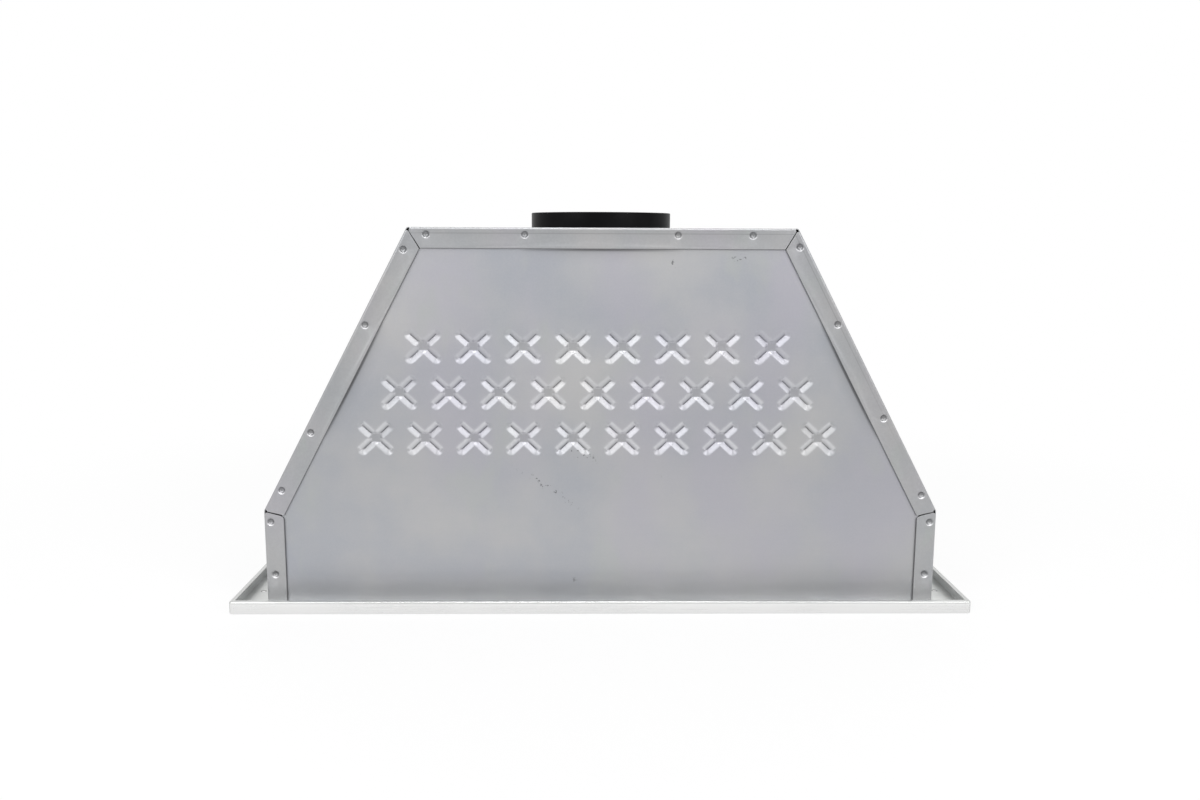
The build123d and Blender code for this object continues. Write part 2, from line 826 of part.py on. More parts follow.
with BuildPart() as motor_screws:
    with BuildSketch(facing(volute_depth / 2)):
        with Locations(*bush_points):
            Circle(screw_head_radius)
    extrude(amount=screw_head)
    with BuildSketch(facing(volute_depth / 2)):
        with Locations(*bush_points):
            Circle(screw_radius)
    extrude(amount=-volute_sheet - bush_thick - cover_thick - screw_tip)
keep(motor_screws, "motor_screws")

# Control box on the rear panel, open to the front, with lid, board and terminals
box_x = box_left + box_width / 2
box_z = box_bottom + box_height / 2
box_front = rear_inner - box_depth
board_posts = [
    (box_x + x * (box_width / 2 - box_post_x), box_z + z * (box_height / 2 - box_post_z))
    for x in (-1, 1) for z in (-1, 1)
]
with BuildPart() as control_box:
    with BuildSketch(facing(rear_inner)):
        with Locations((box_x, box_z)):
            Rectangle(box_width, box_height)
    extrude(amount=box_depth)
    with BuildSketch(facing(rear_inner - box_wall)):
        with Locations((box_x, box_z)):
            Rectangle(box_width - 2 * box_wall, box_height - 2 * box_wall)
    extrude(amount=box_depth, mode=Mode.SUBTRACT)
    with BuildSketch(facing(rear_inner - box_wall)):
        with Locations(*board_posts):
            Circle(post_radius)
    extrude(amount=box_post)
    with BuildSketch(facing(rear_inner)):
        with Locations((gland_x, gland_z)):
            Circle(gland_radius + gland_gap)
    extrude(amount=box_wall, mode=Mode.SUBTRACT)
keep(control_box, "control_box")

lip_width = box_width - 2 * box_wall - 2 * lid_gap
lip_height = box_height - 2 * box_wall - 2 * lid_gap
with BuildPart() as control_lid:
    with BuildSketch(facing(box_front)):
        with Locations((box_x, box_z)):
            Rectangle(box_width, box_height)
    extrude(amount=box_wall)
    with BuildSketch(facing(box_front)):
        with Locations((box_x, box_z)):
            Rectangle(lip_width, lip_height)
            Rectangle(lip_width - 2 * lid_lip_wall, lip_height - 2 * lid_lip_wall, mode=Mode.SUBTRACT)
    extrude(amount=-lid_lip)
keep(control_lid, "control_lid")

board_back = rear_inner - box_wall - box_post
board_front = board_back - board_thick
with BuildPart() as control_board:
    with BuildSketch(facing(board_back)):
        with Locations((box_x, box_z)):
            Rectangle(box_width - 2 * circuit_margin_x, box_height - 2 * circuit_margin_z)
    extrude(amount=board_thick)
    with BuildSketch(facing(board_front)):
        with Locations((box_x + relay_x, box_z + relay_z)):
            with GridLocations(relay_pitch, relay_height, relay_count, 1):
                Rectangle(relay_width, relay_height)
        with Locations((box_x + transformer_x, box_z + relay_z)):
            Rectangle(transformer_width, transformer_height)
    extrude(amount=circuit_rise)
keep(control_board, "control_board")

with BuildPart() as terminal_block:
    with BuildSketch(facing(board_front)):
        with Locations((box_x, box_z + terminal_z)):
            Rectangle(terminal_count * terminal_pitch, terminal_height)
    extrude(amount=terminal_rise)
    with BuildSketch(facing(board_front - terminal_rise)):
        with Locations((box_x, box_z + terminal_z)):
            with GridLocations(terminal_pitch, terminal_height, terminal_count, 1):
                Circle(terminal_hole)
    extrude(amount=-terminal_hole_depth, mode=Mode.SUBTRACT)
keep(terminal_block, "terminal_block")

# Cable gland through rear panel and box wall, with its nut inside
gland_back = -front_y - casing_sheet
gland_end = rear_inner - box_wall - gland_nut_thick
with BuildPart() as cable_gland:
    with BuildSketch(facing(gland_back)):
        with Locations((gland_x, gland_z)):
            RegularPolygon(gland_flange, 6, major_radius=False)
    extrude(amount=-gland_hex)
    with BuildSketch(facing(gland_back + gland_hex)):
        with Locations((gland_x, gland_z)):
            Circle(gland_flange - gland_dome_step)
    extrude(amount=gland_hex - gland_rise, taper=gland_taper)
    with BuildSketch(facing(gland_back)):
        with Locations((gland_x, gland_z)):
            Circle(gland_radius)
    extrude(amount=gland_back - gland_end)
    with BuildSketch(facing(gland_end)):
        with Locations((gland_x, gland_z)):
            Circle(gland_bore)
    extrude(amount=-gland_rise - gland_back + gland_end, mode=Mode.SUBTRACT)
keep(cable_gland, "cable_gland")

with BuildPart() as gland_nut:
    with BuildSketch(facing(rear_inner - box_wall)):
        with Locations((gland_x, gland_z)):
            RegularPolygon(gland_flange - gland_dome_step, 6, major_radius=False)
            Circle(gland_radius + shaft_gap, mode=Mode.SUBTRACT)
    extrude(amount=gland_nut_thick)
keep(gland_nut, "gland_nut")

# Motor capacitor lying across, strapped to the rear panel
strap_inner = capacitor_radius + clamp_gap
strap_outer = strap_inner + clamp_sheet
capacitor_y = rear_inner - strap_inner
with BuildPart() as capacitor:
    with BuildSketch(Plane.YZ.offset(capacitor_x - capacitor_length / 2)):
        with Locations((capacitor_y, capacitor_z)):
            Circle(capacitor_radius)
    extrude(amount=capacitor_length)
    chamfer(capacitor.edges().filter_by(GeomType.CIRCLE), capacitor_edge)
    with BuildSketch(Plane.YZ.offset(capacitor_x + capacitor_length / 2)):
        with Locations((capacitor_y, capacitor_z - tag_offset), (capacitor_y, capacitor_z + tag_offset)):
            Rectangle(tag_width, tag_thick)
    extrude(amount=tag_length)
keep(capacitor, "capacitor")

with BuildPart() as capacitor_clamp:
    with BuildSketch(Plane.YZ.offset(capacitor_x - clamp_width / 2)):
        with Locations((capacitor_y, capacitor_z)):
            Circle(strap_outer)
        with Locations(((capacitor_y + rear_inner) / 2, capacitor_z)):
            Rectangle(strap_inner, 2 * strap_outer)
        with Locations((rear_inner - clamp_sheet / 2, capacitor_z)):
            Rectangle(clamp_sheet, 2 * strap_outer + 2 * clamp_foot)
        with Locations((rear_inner + strap_outer, capacitor_z)):
            Rectangle(2 * strap_outer, 4 * strap_outer, mode=Mode.SUBTRACT)
        with Locations((capacitor_y, capacitor_z)):
            Circle(strap_inner, mode=Mode.SUBTRACT)
        with Locations(((capacitor_y + rear_inner) / 2, capacitor_z)):
            Rectangle(strap_inner, 2 * strap_inner, mode=Mode.SUBTRACT)
    extrude(amount=clamp_width)
keep(capacitor_clamp, "capacitor_clamp")

# Control strip: bezel in the tray slot, five buttons, switches on a board, cover above
with BuildPart() as control_bezel:
    with BuildSketch():
        with Locations((0, strip_y)):
            Rectangle(slot_width - 2 * slot_gap, slot_depth - 2 * slot_gap)
    extrude(amount=tray_sheet)
    with BuildSketch(Plane.XY.offset(tray_sheet)):
        with Locations((0, strip_y)):
            Rectangle(bezel_width, bezel_depth)
    extrude(amount=bezel_thick)
    with BuildSketch(Plane.XY.offset(bezel_top)):
        with Locations(*post_points):
            Circle(post_radius)
    extrude(amount=board_z - bezel_top)
    with BuildSketch():
        with Locations(*button_points):
            Circle(button_radius + button_gap)
    extrude(amount=bezel_top, mode=Mode.SUBTRACT)
keep(control_bezel, "control_bezel")


def push_button(name, point):
    """Round button with a flange that rests behind the bezel."""
    with BuildPart() as button:
        with BuildSketch(Plane.XY.offset(button_face)):
            with Locations(point):
                Circle(button_radius)
        extrude(amount=button_top - button_face)
        chamfer(button.faces().sort_by(Axis.Z)[0].edges(), button_edge)
        with BuildSketch(Plane.XY.offset(bezel_top + button_gap)):
            with Locations(point):
                Circle(button_radius + button_flange)
        extrude(amount=button_thick)
    keep(button, name)


button_names = ("button_light", "button_stop", "button_low", "button_medium", "button_high")
for button_name, button_point in zip(button_names, button_points):
    push_button(button_name, button_point)

with BuildPart() as switches:
    with BuildSketch(Plane.XY.offset(switch_bottom)):
        with Locations(*button_points):
            Rectangle(switch_size, switch_size)
    extrude(amount=switch_height)
keep(switches, "switches")

with BuildPart() as switch_board:
    with BuildSketch(Plane.XY.offset(board_z)):
        with Locations((0, strip_y)):
            Rectangle(bezel_width - 2 * board_margin_x, bezel_depth - 2 * board_margin_y)
    extrude(amount=board_thick)
keep(switch_board, "switch_board")

with BuildPart() as switch_cover:
    with BuildSketch(Plane.XY.offset(tray_sheet)):
        with Locations((0, strip_y)):
            Rectangle(cover_width, cover_depth)
    extrude(amount=cover_height)
    with BuildSketch(Plane.XY.offset(tray_sheet)):
        with Locations((0, strip_y)):
            Rectangle(cover_width - 2 * cover_sheet, cover_depth - 2 * cover_sheet)
    extrude(amount=cover_height - cover_sheet, mode=Mode.SUBTRACT)
    with BuildSketch(Plane.XY.offset(tray_sheet)):
        foot_x = (cover_width + cover_foot) / 2
        with Locations((-foot_x, strip_y), (foot_x, strip_y)):
            Rectangle(cover_foot, cover_foot_width)
    extrude(amount=cover_sheet)
keep(switch_cover, "switch_cover")


def lamp(side, x):
    """Lamp can on the tray floor and its lens in the tray hole."""
    with BuildPart() as housing:
        with BuildSketch(Plane.XY.offset(tray_sheet)):
            with Locations((x, strip_y)):
                Circle(lamp_radius + lamp_flange)
        extrude(amount=lamp_flange_thick)
        with BuildSketch(Plane.XY.offset(tray_sheet)):
            with Locations((x, strip_y)):
                Circle(lamp_radius + lamp_wall)
        extrude(amount=lamp_height)
        with BuildSketch(Plane.XY.offset(tray_sheet)):
            with Locations((x, strip_y)):
                Circle(lamp_radius)
        extrude(amount=lens_thick, mode=Mode.SUBTRACT)
        with BuildSketch(Plane.XY.offset(tray_sheet)):
            with Locations((x, strip_y)):
                Circle(lamp_radius - lamp_seat)
        extrude(amount=lamp_height - lamp_wall, mode=Mode.SUBTRACT)
    keep(housing, f"lamp_{side}_housing")
    with BuildPart() as lens:
        with BuildSketch(Plane.XY.offset(lamp_gap)):
            with Locations((x, strip_y)):
                Circle(lamp_radius - lamp_gap)
        extrude(amount=tray_sheet + lens_thick - lamp_gap)
        chamfer(lens.faces().sort_by(Axis.Z)[0].edges(), lens_edge)
    keep(lens, f"lamp_{side}_lens")


lamp("left", -lamp_distance)
lamp("right", lamp_distance)

led_board_z = tray_sheet + lamp_height - lamp_wall - board_thick
with BuildPart() as lamp_boards:
    with BuildSketch(Plane.XY.offset(led_board_z)):
        with Locations(*lamp_points):
            Circle(lamp_radius - lamp_seat - lamp_gap)
    extrude(amount=board_thick)
    with BuildSketch(Plane.XY.offset(led_board_z)):
        for point in lamp_points:
            with Locations(point):
                with PolarLocations(led_circle, led_count):
                    Rectangle(led_size, led_size)
    extrude(amount=-led_rise)
keep(lamp_boards, "lamp_boards")

# Bent tabs that hold the lamp flanges down, two to a lamp
tab_inner = lamp_radius + lamp_flange + lamp_gap
with BuildPart() as lamp_clips:
    for x, y in lamp_points:
        for side in (-1, 1):
            with BuildSketch(Plane.XY.offset(tray_sheet)):
                with Locations((x + side * (tab_inner + tab_length / 2), y)):
                    Rectangle(tab_length, tab_width)
            extrude(amount=tab_sheet)
            with BuildSketch(Plane.XY.offset(tray_sheet)):
                with Locations((x + side * (tab_inner + tab_sheet / 2), y)):
                    Rectangle(tab_sheet, tab_width)
            extrude(amount=lamp_flange_thick + tab_sheet)
            with BuildSketch(Plane.XY.offset(tray_sheet + lamp_flange_thick)):
                with Locations((x + side * (tab_inner + (tab_sheet - tab_reach) / 2), y)):
                    Rectangle(tab_sheet + tab_reach, tab_width)
            extrude(amount=tab_sheet)
keep(lamp_clips, "lamp_clips")


def filter_frame(name, x):
    """Folded channel frame with its hinge bead along the rear."""
    with BuildPart() as frame:
        with BuildSketch(Plane.XY.offset(filter_bottom)):
            with Locations((x, filter_y)):
                Rectangle(filter_width, filter_depth)
        extrude(amount=filter_height)
        with BuildSketch(Plane.XY.offset(filter_bottom + filter_sheet)):
            with Locations((x, filter_y)):
                Rectangle(filter_width - 2 * filter_sheet, filter_depth - 2 * filter_sheet)
        extrude(amount=filter_height - 2 * filter_sheet, mode=Mode.SUBTRACT)
        with BuildSketch(Plane.XY.offset(filter_bottom)):
            with Locations((x, (window_front + window_rear) / 2)):
                Rectangle(filter_width - 2 * filter_border, window_rear - window_front)
        extrude(amount=filter_height, mode=Mode.SUBTRACT)
        with BuildSketch(Plane.YZ.offset(x - filter_width / 2)):
            with Locations((hinge_y, bead_height)):
                Circle(bead_radius)
            with Locations(((filter_rear - filter_sheet + hinge_y) / 2, bead_height)):
                Rectangle(hinge_y - filter_rear + filter_sheet, web_thick)
        extrude(amount=filter_width)
    keep(frame, name)


def filter_baffles(name, x):
    """Two layers of folded channels, the upper ones turned over the gaps of the lower ones."""
    low = filter_bottom + filter_sheet
    high = filter_bottom + filter_height - filter_sheet
    start = window_front - baffle_seat
    length = window_rear + baffle_seat - start
    with BuildPart() as baffles:
        for layer in range(2):
            places = [
                x + (i - (baffle_count - layer - 1) / 2) * baffle_pitch
                for i in range(baffle_count - layer)
            ]
            floor = low if layer == 0 else high - baffle_leg
            web = low + baffle_sheet if layer == 0 else high - baffle_leg
            with BuildSketch(facing(start + length)):
                for place in places:
                    with Locations((place, floor + baffle_leg / 2)):
                        Rectangle(baffle_width, baffle_leg)
                for place in places:
                    with Locations((place, web + (baffle_leg - baffle_sheet) / 2)):
                        Rectangle(
                            baffle_width - 2 * baffle_sheet,
                            baffle_leg - baffle_sheet,
                            mode=Mode.SUBTRACT,
                        )
            extrude(amount=length)
    keep(baffles, name)


def filter_handle(name, x):
    """Round bar bent into a bail under the front border of the frame."""
    half = handle_span / 2
    path_points = [
        (x - half, handle_y, filter_bottom),
        (x - half, handle_y, handle_centre),
        (x + half, handle_y, handle_centre),
        (x + half, handle_y, filter_bottom),
    ]
    with BuildPart() as handle:
        with BuildLine():
            FilletPolyline(*path_points, radius=handle_corner)
        with BuildSketch(Plane.XY.offset(filter_bottom)):
            with Locations((x - half, handle_y)):
                Circle(handle_radius)
        sweep()
    keep(handle, name)


for side_name, side_x in (("left", -filter_x), ("right", filter_x)):
    filter_frame(f"filter_{side_name}_frame", side_x)
    filter_baffles(f"filter_{side_name}_baffles", side_x)
    filter_handle(f"filter_{side_name}_handle", side_x)

# Curled rail on the rear wall of the well, one length behind each filter
rail_inner = bead_radius + bead_gap
rail_outer = rail_inner + rail_sheet
rail_back = hinge_y + rail_inner + rail_overlap
with BuildPart() as filter_rail:
    for x in (-filter_x, filter_x):
        with BuildSketch(Plane.YZ.offset(x - filter_width / 2)):
            with BuildLine():
                outer_arc = CenterArc((hinge_y, bead_height), rail_outer, rail_start, rail_sweep)
                inner_arc = CenterArc((hinge_y, bead_height), rail_inner, rail_start, rail_sweep)
                Line(outer_arc @ 0, inner_arc @ 0)
                Line(outer_arc @ 1, inner_arc @ 1)
            make_face()
            with Locations(((rail_back + well_rear) / 2, bead_height)):
                Rectangle(well_rear - rail_back, 2 * bead_radius)
        extrude(amount=filter_width)
keep(filter_rail, "filter_rail")

with BuildPart() as filter_divider:
    with BuildSketch(Plane.XY.offset(filter_bottom)):
        with Locations((0, well_y)):
            Rectangle(divider_width, well_depth)
    extrude(amount=filter_height)
    with BuildSketch(Plane.XY.offset(filter_bottom + filter_sheet)):
        with Locations((0, well_y)):
            Rectangle(divider_width - 2 * filter_sheet, well_depth)
    extrude(amount=filter_height - filter_sheet, mode=Mode.SUBTRACT)
keep(filter_divider, "filter_divider")

# Leaf springs on the front wall of the well that grip the filter fronts
clip_nose = filter_front - clip_gap
clip_low = filter_bottom + clip_lift
clip_high = clip_low + clip_height
clip_profile = [
    (well_front, clip_low),
    (well_front, clip_high),
    (well_front + clip_sheet, clip_high),
    (well_front + clip_sheet, clip_low + clip_bend),
    (clip_nose, clip_low + clip_nose_high),
    (clip_nose, clip_low + clip_nose_low),
    (well_front + clip_sheet, clip_low),
]
with BuildPart() as filter_clips:
    for x in (-filter_x - clip_offset, -filter_x + clip_offset, filter_x - clip_offset, filter_x + clip_offset):
        with BuildSketch(Plane.YZ.offset(x - clip_width / 2)):
            with BuildLine():
                Polyline(*clip_profile, close=True)
            make_face()
        extrude(amount=clip_width)
keep(filter_clips, "filter_clips")
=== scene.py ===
"""Range hood insert: meshes, finishes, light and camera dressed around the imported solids."""

import json
import logging
import math
from dataclasses import dataclass
from enum import Enum, IntEnum
from functools import cache
from typing import Any, Callable, Optional, Sequence, Union

import bmesh
import bpy
from bpy.types import Material, NodeSocket, Object
from mathutils import Matrix, Vector
from mathutils.geometry import delaunay_2d_cdt


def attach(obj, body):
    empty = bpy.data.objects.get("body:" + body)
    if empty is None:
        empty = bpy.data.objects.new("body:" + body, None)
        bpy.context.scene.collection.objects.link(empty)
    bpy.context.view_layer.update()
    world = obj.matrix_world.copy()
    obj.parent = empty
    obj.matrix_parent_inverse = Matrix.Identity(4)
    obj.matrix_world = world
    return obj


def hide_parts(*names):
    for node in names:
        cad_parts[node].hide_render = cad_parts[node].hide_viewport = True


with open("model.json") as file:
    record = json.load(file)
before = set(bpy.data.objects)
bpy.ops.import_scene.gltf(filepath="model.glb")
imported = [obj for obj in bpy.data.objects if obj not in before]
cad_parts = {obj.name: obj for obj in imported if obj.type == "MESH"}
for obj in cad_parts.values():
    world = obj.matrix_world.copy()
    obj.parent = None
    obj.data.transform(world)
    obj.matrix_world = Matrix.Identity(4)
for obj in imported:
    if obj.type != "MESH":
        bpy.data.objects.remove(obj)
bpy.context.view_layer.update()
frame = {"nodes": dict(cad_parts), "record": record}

MM = 0.001
MERGE = 2e-6  # metres within which the points of one mesh meet
PATCH_MERGE = 0.02 * MM  # the same for a pressed patch and its sheet
CLOSE = 1e-5  # millimetres within which the triangulation takes two points as one
SHARP = 32.0  # degrees past which an edge stays sharp
WHITE = (1.0, 1.0, 1.0, 1.0)
QUARTERS = ((-1, -1), (-1, 1), (1, -1), (1, 1))
HANDS = {"left": -1.0, "right": 1.0}
FILTER_X = 159.0  # millimetres from the middle to a filter's middle
FEET = (0, 5)  # corners of the casing's outline that stand on the floor
BENDS = range(1, 5)  # the corners between them
PAINTED_LIGHT = "pressed_line"  # attribute that notes a sheet's painted shade and painted highlights
log = logging.getLogger("hood")

Point = tuple[float, float]
Loop = list[Point]
Row = tuple[float, ...]
Curve = tuple[Point, ...]
Place = Callable[[float, float], Vector]
Triple = tuple[float, float, float]
Colour = Triple


class Socket:
    """A shader socket whose Python operators add Math nodes."""

    def __init__(self, shader: "Shader", socket: NodeSocket) -> None:
        """Keeps the shader that owns the socket."""
        self.shader = shader
        self.socket = socket

    def math(self, operation: str, *values: "Value") -> "Socket":
        """Adds one Math node and hands back its output."""
        return self.shader.node("ShaderNodeMath", {"operation": operation}, dict(enumerate(values)))

    def __add__(self, other: "Value") -> "Socket":
        """Sum."""
        return self.math("ADD", self, other)

    def __radd__(self, other: "Value") -> "Socket":
        """Sum with a number on the left."""
        return self.math("ADD", other, self)

    def __sub__(self, other: "Value") -> "Socket":
        """Difference."""
        return self.math("SUBTRACT", self, other)

    def __rsub__(self, other: "Value") -> "Socket":
        """Difference with a number on the left."""
        return self.math("SUBTRACT", other, self)

    def __mul__(self, other: "Value") -> "Socket":
        """Product."""
        return self.math("MULTIPLY", self, other)

    def __rmul__(self, other: "Value") -> "Socket":
        """Product with a number on the left."""
        return self.math("MULTIPLY", other, self)

    def __abs__(self) -> "Socket":
        """Size without its sign."""
        return self.math("ABSOLUTE", self)

    def __lt__(self, other: "Value") -> "Socket":
        """1 where it is smaller."""
        return self.math("LESS_THAN", self, other)

    def __gt__(self, other: "Value") -> "Socket":
        """1 where it is larger."""
        return self.math("GREATER_THAN", self, other)

    def largest(self, other: "Value") -> "Socket":
        """The larger of two values."""
        return self.math("MAXIMUM", self, other)

    def least(self, other: "Value") -> "Socket":
        """The smaller of two values."""
        return self.math("MINIMUM", self, other)


Value = Union[Socket, float, int, Sequence[float]]


class Shader:
    """A material under construction."""

    def __init__(self, name: str, world: bool = False) -> None:
        """Starts an empty node tree.

        Args:
            name: the material's name.
            world: makes the light all round instead of a material.
        """
        self.owner = (bpy.data.worlds if world else bpy.data.materials).new(name)
        self.owner.use_nodes = True
        self.tree = self.owner.node_tree
        self.tree.nodes.clear()

    def node(self, kind: str, settings: Optional[dict[str, Any]] = None,
             inputs: Optional[dict[Any, Value]] = None, output: Union[int, str] = 0) -> Socket:
        """Adds one node.

        Args:
            kind: the node's type.
            settings: its own settings, set first.
            inputs: values or links by socket name or number.
            output: the socket to hand back.

        Returns:
            The chosen output.
        """
        node = self.tree.nodes.new(kind)
        for key, value in (settings or {}).items():
            setattr(node, key, value)
        for key, value in (inputs or {}).items():
            if isinstance(value, Socket):
                self.tree.links.new(value.socket, node.inputs[key])
            else:
                node.inputs[key].default_value = value
        return Socket(self, node.outputs[output])

    def place(self, stretch: Sequence[float] = (1.0, 1.0, 1.0)) -> Socket:
        """Object coordinates, stretched by a factor along each axis."""
        place = self.node("ShaderNodeTexCoord", output="Object")
        return self.node("ShaderNodeMapping", {}, {"Vector": place, "Scale": stretch})

    def axes(self, vector: Socket) -> list[Socket]:
        """The X, Y and Z of a vector."""
        return [self.node("ShaderNodeSeparateXYZ", {}, {0: vector}, output=axis) for axis in range(3)]

    def measure(self, operation: str, *vectors: Value) -> Socket:
        """One number from a Vector Math node, such as a length."""
        settings, inputs = {"operation": operation}, dict(enumerate(vectors))
        return self.node("ShaderNodeVectorMath", settings, inputs, output="Value")

    def noise(self, vector: Socket, scale: float, detail: float = 3.0, rough: float = 0.5) -> Socket:
        """Soft noise from 0 to 1, with scale features per metre."""
        inputs = {"Vector": vector, "Scale": scale, "Detail": detail, "Roughness": rough}
        return self.node("ShaderNodeTexNoise", {}, inputs)

    def span(self, value: Socket, low: float, high: float, start: float = 0.0, end: float = 1.0) -> Socket:
        """Maps low to high onto start to end, clamped."""
        inputs = {0: value, 1: low, 2: high, 3: start, 4: end}
        return self.node("ShaderNodeMapRange", {"interpolation_type": "SMOOTHSTEP"}, inputs)

    def mix(self, share: Value, first: Value, second: Value) -> Socket:
        """Mixes two colours by the share of the second."""
        inputs = {0: share, 6: first, 7: second}
        return self.node("ShaderNodeMix", {"data_type": "RGBA"}, inputs, output=2)

    def bump(self, height: Socket, depth: float, strength: float = 1.0) -> Socket:
        """Normal from a height in units of depth metres."""
        return self.node("ShaderNodeBump", {}, {"Height": height, "Distance": depth, "Strength": strength})

    def surface(self, values: dict[str, Value]) -> Material:
        """Ends the material in one Principled shader."""
        self.node_out(self.node("ShaderNodeBsdfPrincipled", {}, values))
        return self.owner

    def node_out(self, shader: Socket, kind: str = "Material") -> None:
        """Links a shader to the output of a material or a world."""
        output = self.tree.nodes.new(f"ShaderNodeOutput{kind}")
        self.tree.links.new(shader.socket, output.inputs["Surface"])


def solid(colour: Colour) -> tuple[float, float, float, float]:
    """A colour with full alpha."""
    return (*colour, 1.0)


@dataclass(frozen=True)
class Scuff:
    """One broken scratch or group of specks on the front, in millimetres and degrees."""

    x: float
    z: float
    reach: float
    width: float
    turn: float


@dataclass(frozen=True)
class ZincSheet:
    """Zinc-coated sheet with faint clouds, fine spangle and a few specks and scratches, painted shade towards
    the bottom, a painted reflection along the foot, and the painted shade and painted highlights noted on its
    points.
    """

    colour: Colour
    cool: Colour
    warm: Colour
    green: Colour
    roughness: float = 0.42
    metallic: float = 0.72
    cloud_scale: float = 9.0
    grain_scale: float = 520.0
    speck_scale: float = 60.0
    # pale and dull are the heights between which the painted shade towards the bottom comes in
    pale: float = 0.34
    dull: float = 0.13
    dulled: float = 0.0
    # heights between which the painted highlights come in, none above and full below
    bright_top: float = 0.32
    bright_foot: float = 0.15
    # painted reflection of the tray's floor along the foot: the heights it fades in between, then its share
    foot_high: float = 0.033
    foot_low: float = 0.013
    foot_rubbed: float = 0.38
    spangle: Colour = (0.62, 0.63, 0.64)
    # colour of the painted shade towards the bottom
    grime: Colour = (0.3, 0.3, 0.31)
    # colour of the painted highlights and the painted reflection along the foot
    rubbed: Colour = (0.88, 0.88, 0.9)
    # colour of specks and scratches, and of the painted shade
    mark: Colour = (0.14, 0.14, 0.145)
    face: float = -0.139
    broken_scale: float = 330.0
    scuff_depth: float = 0.05
    scuff_dark: float = 0.8
    scuffs: tuple[Scuff, ...] = (
        Scuff(-52.0, 118.0, 48.0, 5.0, -33.0),
        Scuff(-20.0, 152.0, 22.0, 8.0, -20.0),
        Scuff(68.0, 128.0, 14.0, 3.0, -12.0),
        Scuff(66.0, 336.0, 7.0, 6.0, 60.0),
        Scuff(128.0, 342.0, 14.0, 4.0, 10.0),
    )

    def shade(self, name: str) -> Material:
        """Builds the material under a name.

        Args:
            name: the material's name.

        Returns:
            The finished material.
        """
        made = Shader(name)
        place = made.place()
        cloud = made.noise(place, self.cloud_scale, 4.0, 0.55)
        tint = made.noise(made.place((1.0, 1.0, 0.45)), self.cloud_scale * 1.1, 3.0)
        stain = made.noise(made.place((1.6, 1.6, 0.8)), self.cloud_scale * 1.7, 3.0, 0.6)
        grain = made.noise(place, self.grain_scale, 2.0, 0.6)
        streak = made.noise(made.place((0.6, 0.6, 14.0)), 22.0, 3.0)
        speck = made.span(made.noise(place, self.speck_scale, 5.0, 0.62), 0.74, 0.775)
        base = made.mix(made.span(cloud, 0.3, 0.72), solid(self.cool), solid(self.colour))
        base = made.mix(made.span(tint, 0.45, 0.7) * 0.75, base, solid(self.warm))
        base = made.mix(made.span(stain, 0.55, 0.75) * 0.6, base, solid(self.green))
        base = made.mix(made.span(grain, 0.35, 0.7) * 0.10, base, solid(self.spangle))
        height = made.axes(place)[2]
        # painted shade, darker towards the bottom
        base = made.mix(made.span(height, self.pale, self.dull) * self.dulled, base, solid(self.grime))
        # painted shade and painted highlights noted on the sheet's points
        line = made.node("ShaderNodeAttribute", {"attribute_name": PAINTED_LIGHT}, output="Fac")
        bright = (0.0 - line).largest(0.0) * made.span(height, self.bright_top, self.bright_foot)
        # painted reflection of the tray's floor along the foot
        bright = bright.largest(made.span(height, self.foot_high, self.foot_low) * self.foot_rubbed)
        base = made.mix(bright, base, solid(self.rubbed))
        dark = (speck * 0.5).largest(self.worn(made, place)).largest(line)
        base = made.mix(dark, base, solid(self.mark))
        rough = self.roughness + (streak - 0.5) * 0.10 + (cloud - 0.5) * 0.16 + (grain - 0.5) * 0.06
        relief = cloud * 0.9 + streak * 0.05 + grain * 0.012
        return made.surface({
            "Base Color": base, "Metallic": self.metallic, "Roughness": rough,
            "Normal": made.bump(relief, 0.0016, 0.35),
        })

    def worn(self, made: Shader, place: Socket) -> Socket:
        """Broken marks inside the scuffs' long ovals.

        Args:
            made: the material in the making.
            place: where it is read.

        Returns:
            The share of dark.
        """
        broken = made.span(made.noise(place, self.broken_scale, 3.0, 0.6), 0.6, 0.66)
        total: Value = 0.0
        for scuff in self.scuffs:
            oval = made.node("ShaderNodeMapping", {"vector_type": "TEXTURE"}, {
                "Vector": place, "Location": (scuff.x * MM, self.face, scuff.z * MM),
                "Rotation": (0.0, math.radians(-scuff.turn), 0.0),
                "Scale": (scuff.reach * MM, self.scuff_depth, scuff.width * MM),
            })
            total = made.span(made.measure("LENGTH", oval), 1.0, 0.35) + total
        return broken * total * self.scuff_dark


@dataclass(frozen=True)
class FoldedZinc(ZincSheet):
    """The wrap's zinc, with a painted shade line along the crease beside the folds and painted shadow of the
    seam gaps on the flanges' edges, in metres.
    """

    bright_top: float = 1.0
    bright_foot: float = 0.0
    half: float = 0.331
    top: float = 0.37
    slope: float = 0.33692
    slope_way: Colour = (0.8833, 0.0, 0.4689)
    # painted shade line along the crease beside the folds
    fold: float = 0.0055
    fold_half: float = 0.0008
    fold_dark: float = 0.3
    fold_left: Point = (-0.19, -0.17)
    fold_foot: Point = (0.1, 0.3)
    # painted shadow of the seam gaps on the flanges' edges
    edge: Point = (0.0191, 0.0198)
    edge_dark: float = 0.85

    def worn(self, made: Shader, place: Socket) -> Socket:
        """Adds painted shade lines that follow the outline, by depth inside it, to the sheet's marks: one
        along the crease beside the folds, and painted shadow of the seam gaps on the flanges' edges.

        Args:
            made: the material in the making.
            place: where it is read.

        Returns:
            The share of dark.
        """
        folded = made.node("ShaderNodeVectorMath", {"operation": "ABSOLUTE"}, {0: place})
        across, _, height = made.axes(folded)
        lean = made.measure("DOT_PRODUCT", folded, self.slope_way)
        depth = (self.top - height).least(self.half - across).least(self.slope - lean)
        # painted shade line along the crease beside the folds
        line = made.span(abs(depth - self.fold), self.fold_half, 0.0)
        line = line * made.span(made.axes(place)[0], *self.fold_left) * made.span(height, *self.fold_foot)
        # painted shadow of the seam gaps on the flanges' edges
        seam_edge_shadow = made.span(depth, *self.edge)
        return super().worn(made, place).largest(line * self.fold_dark).largest(seam_edge_shadow * self.edge_dark)


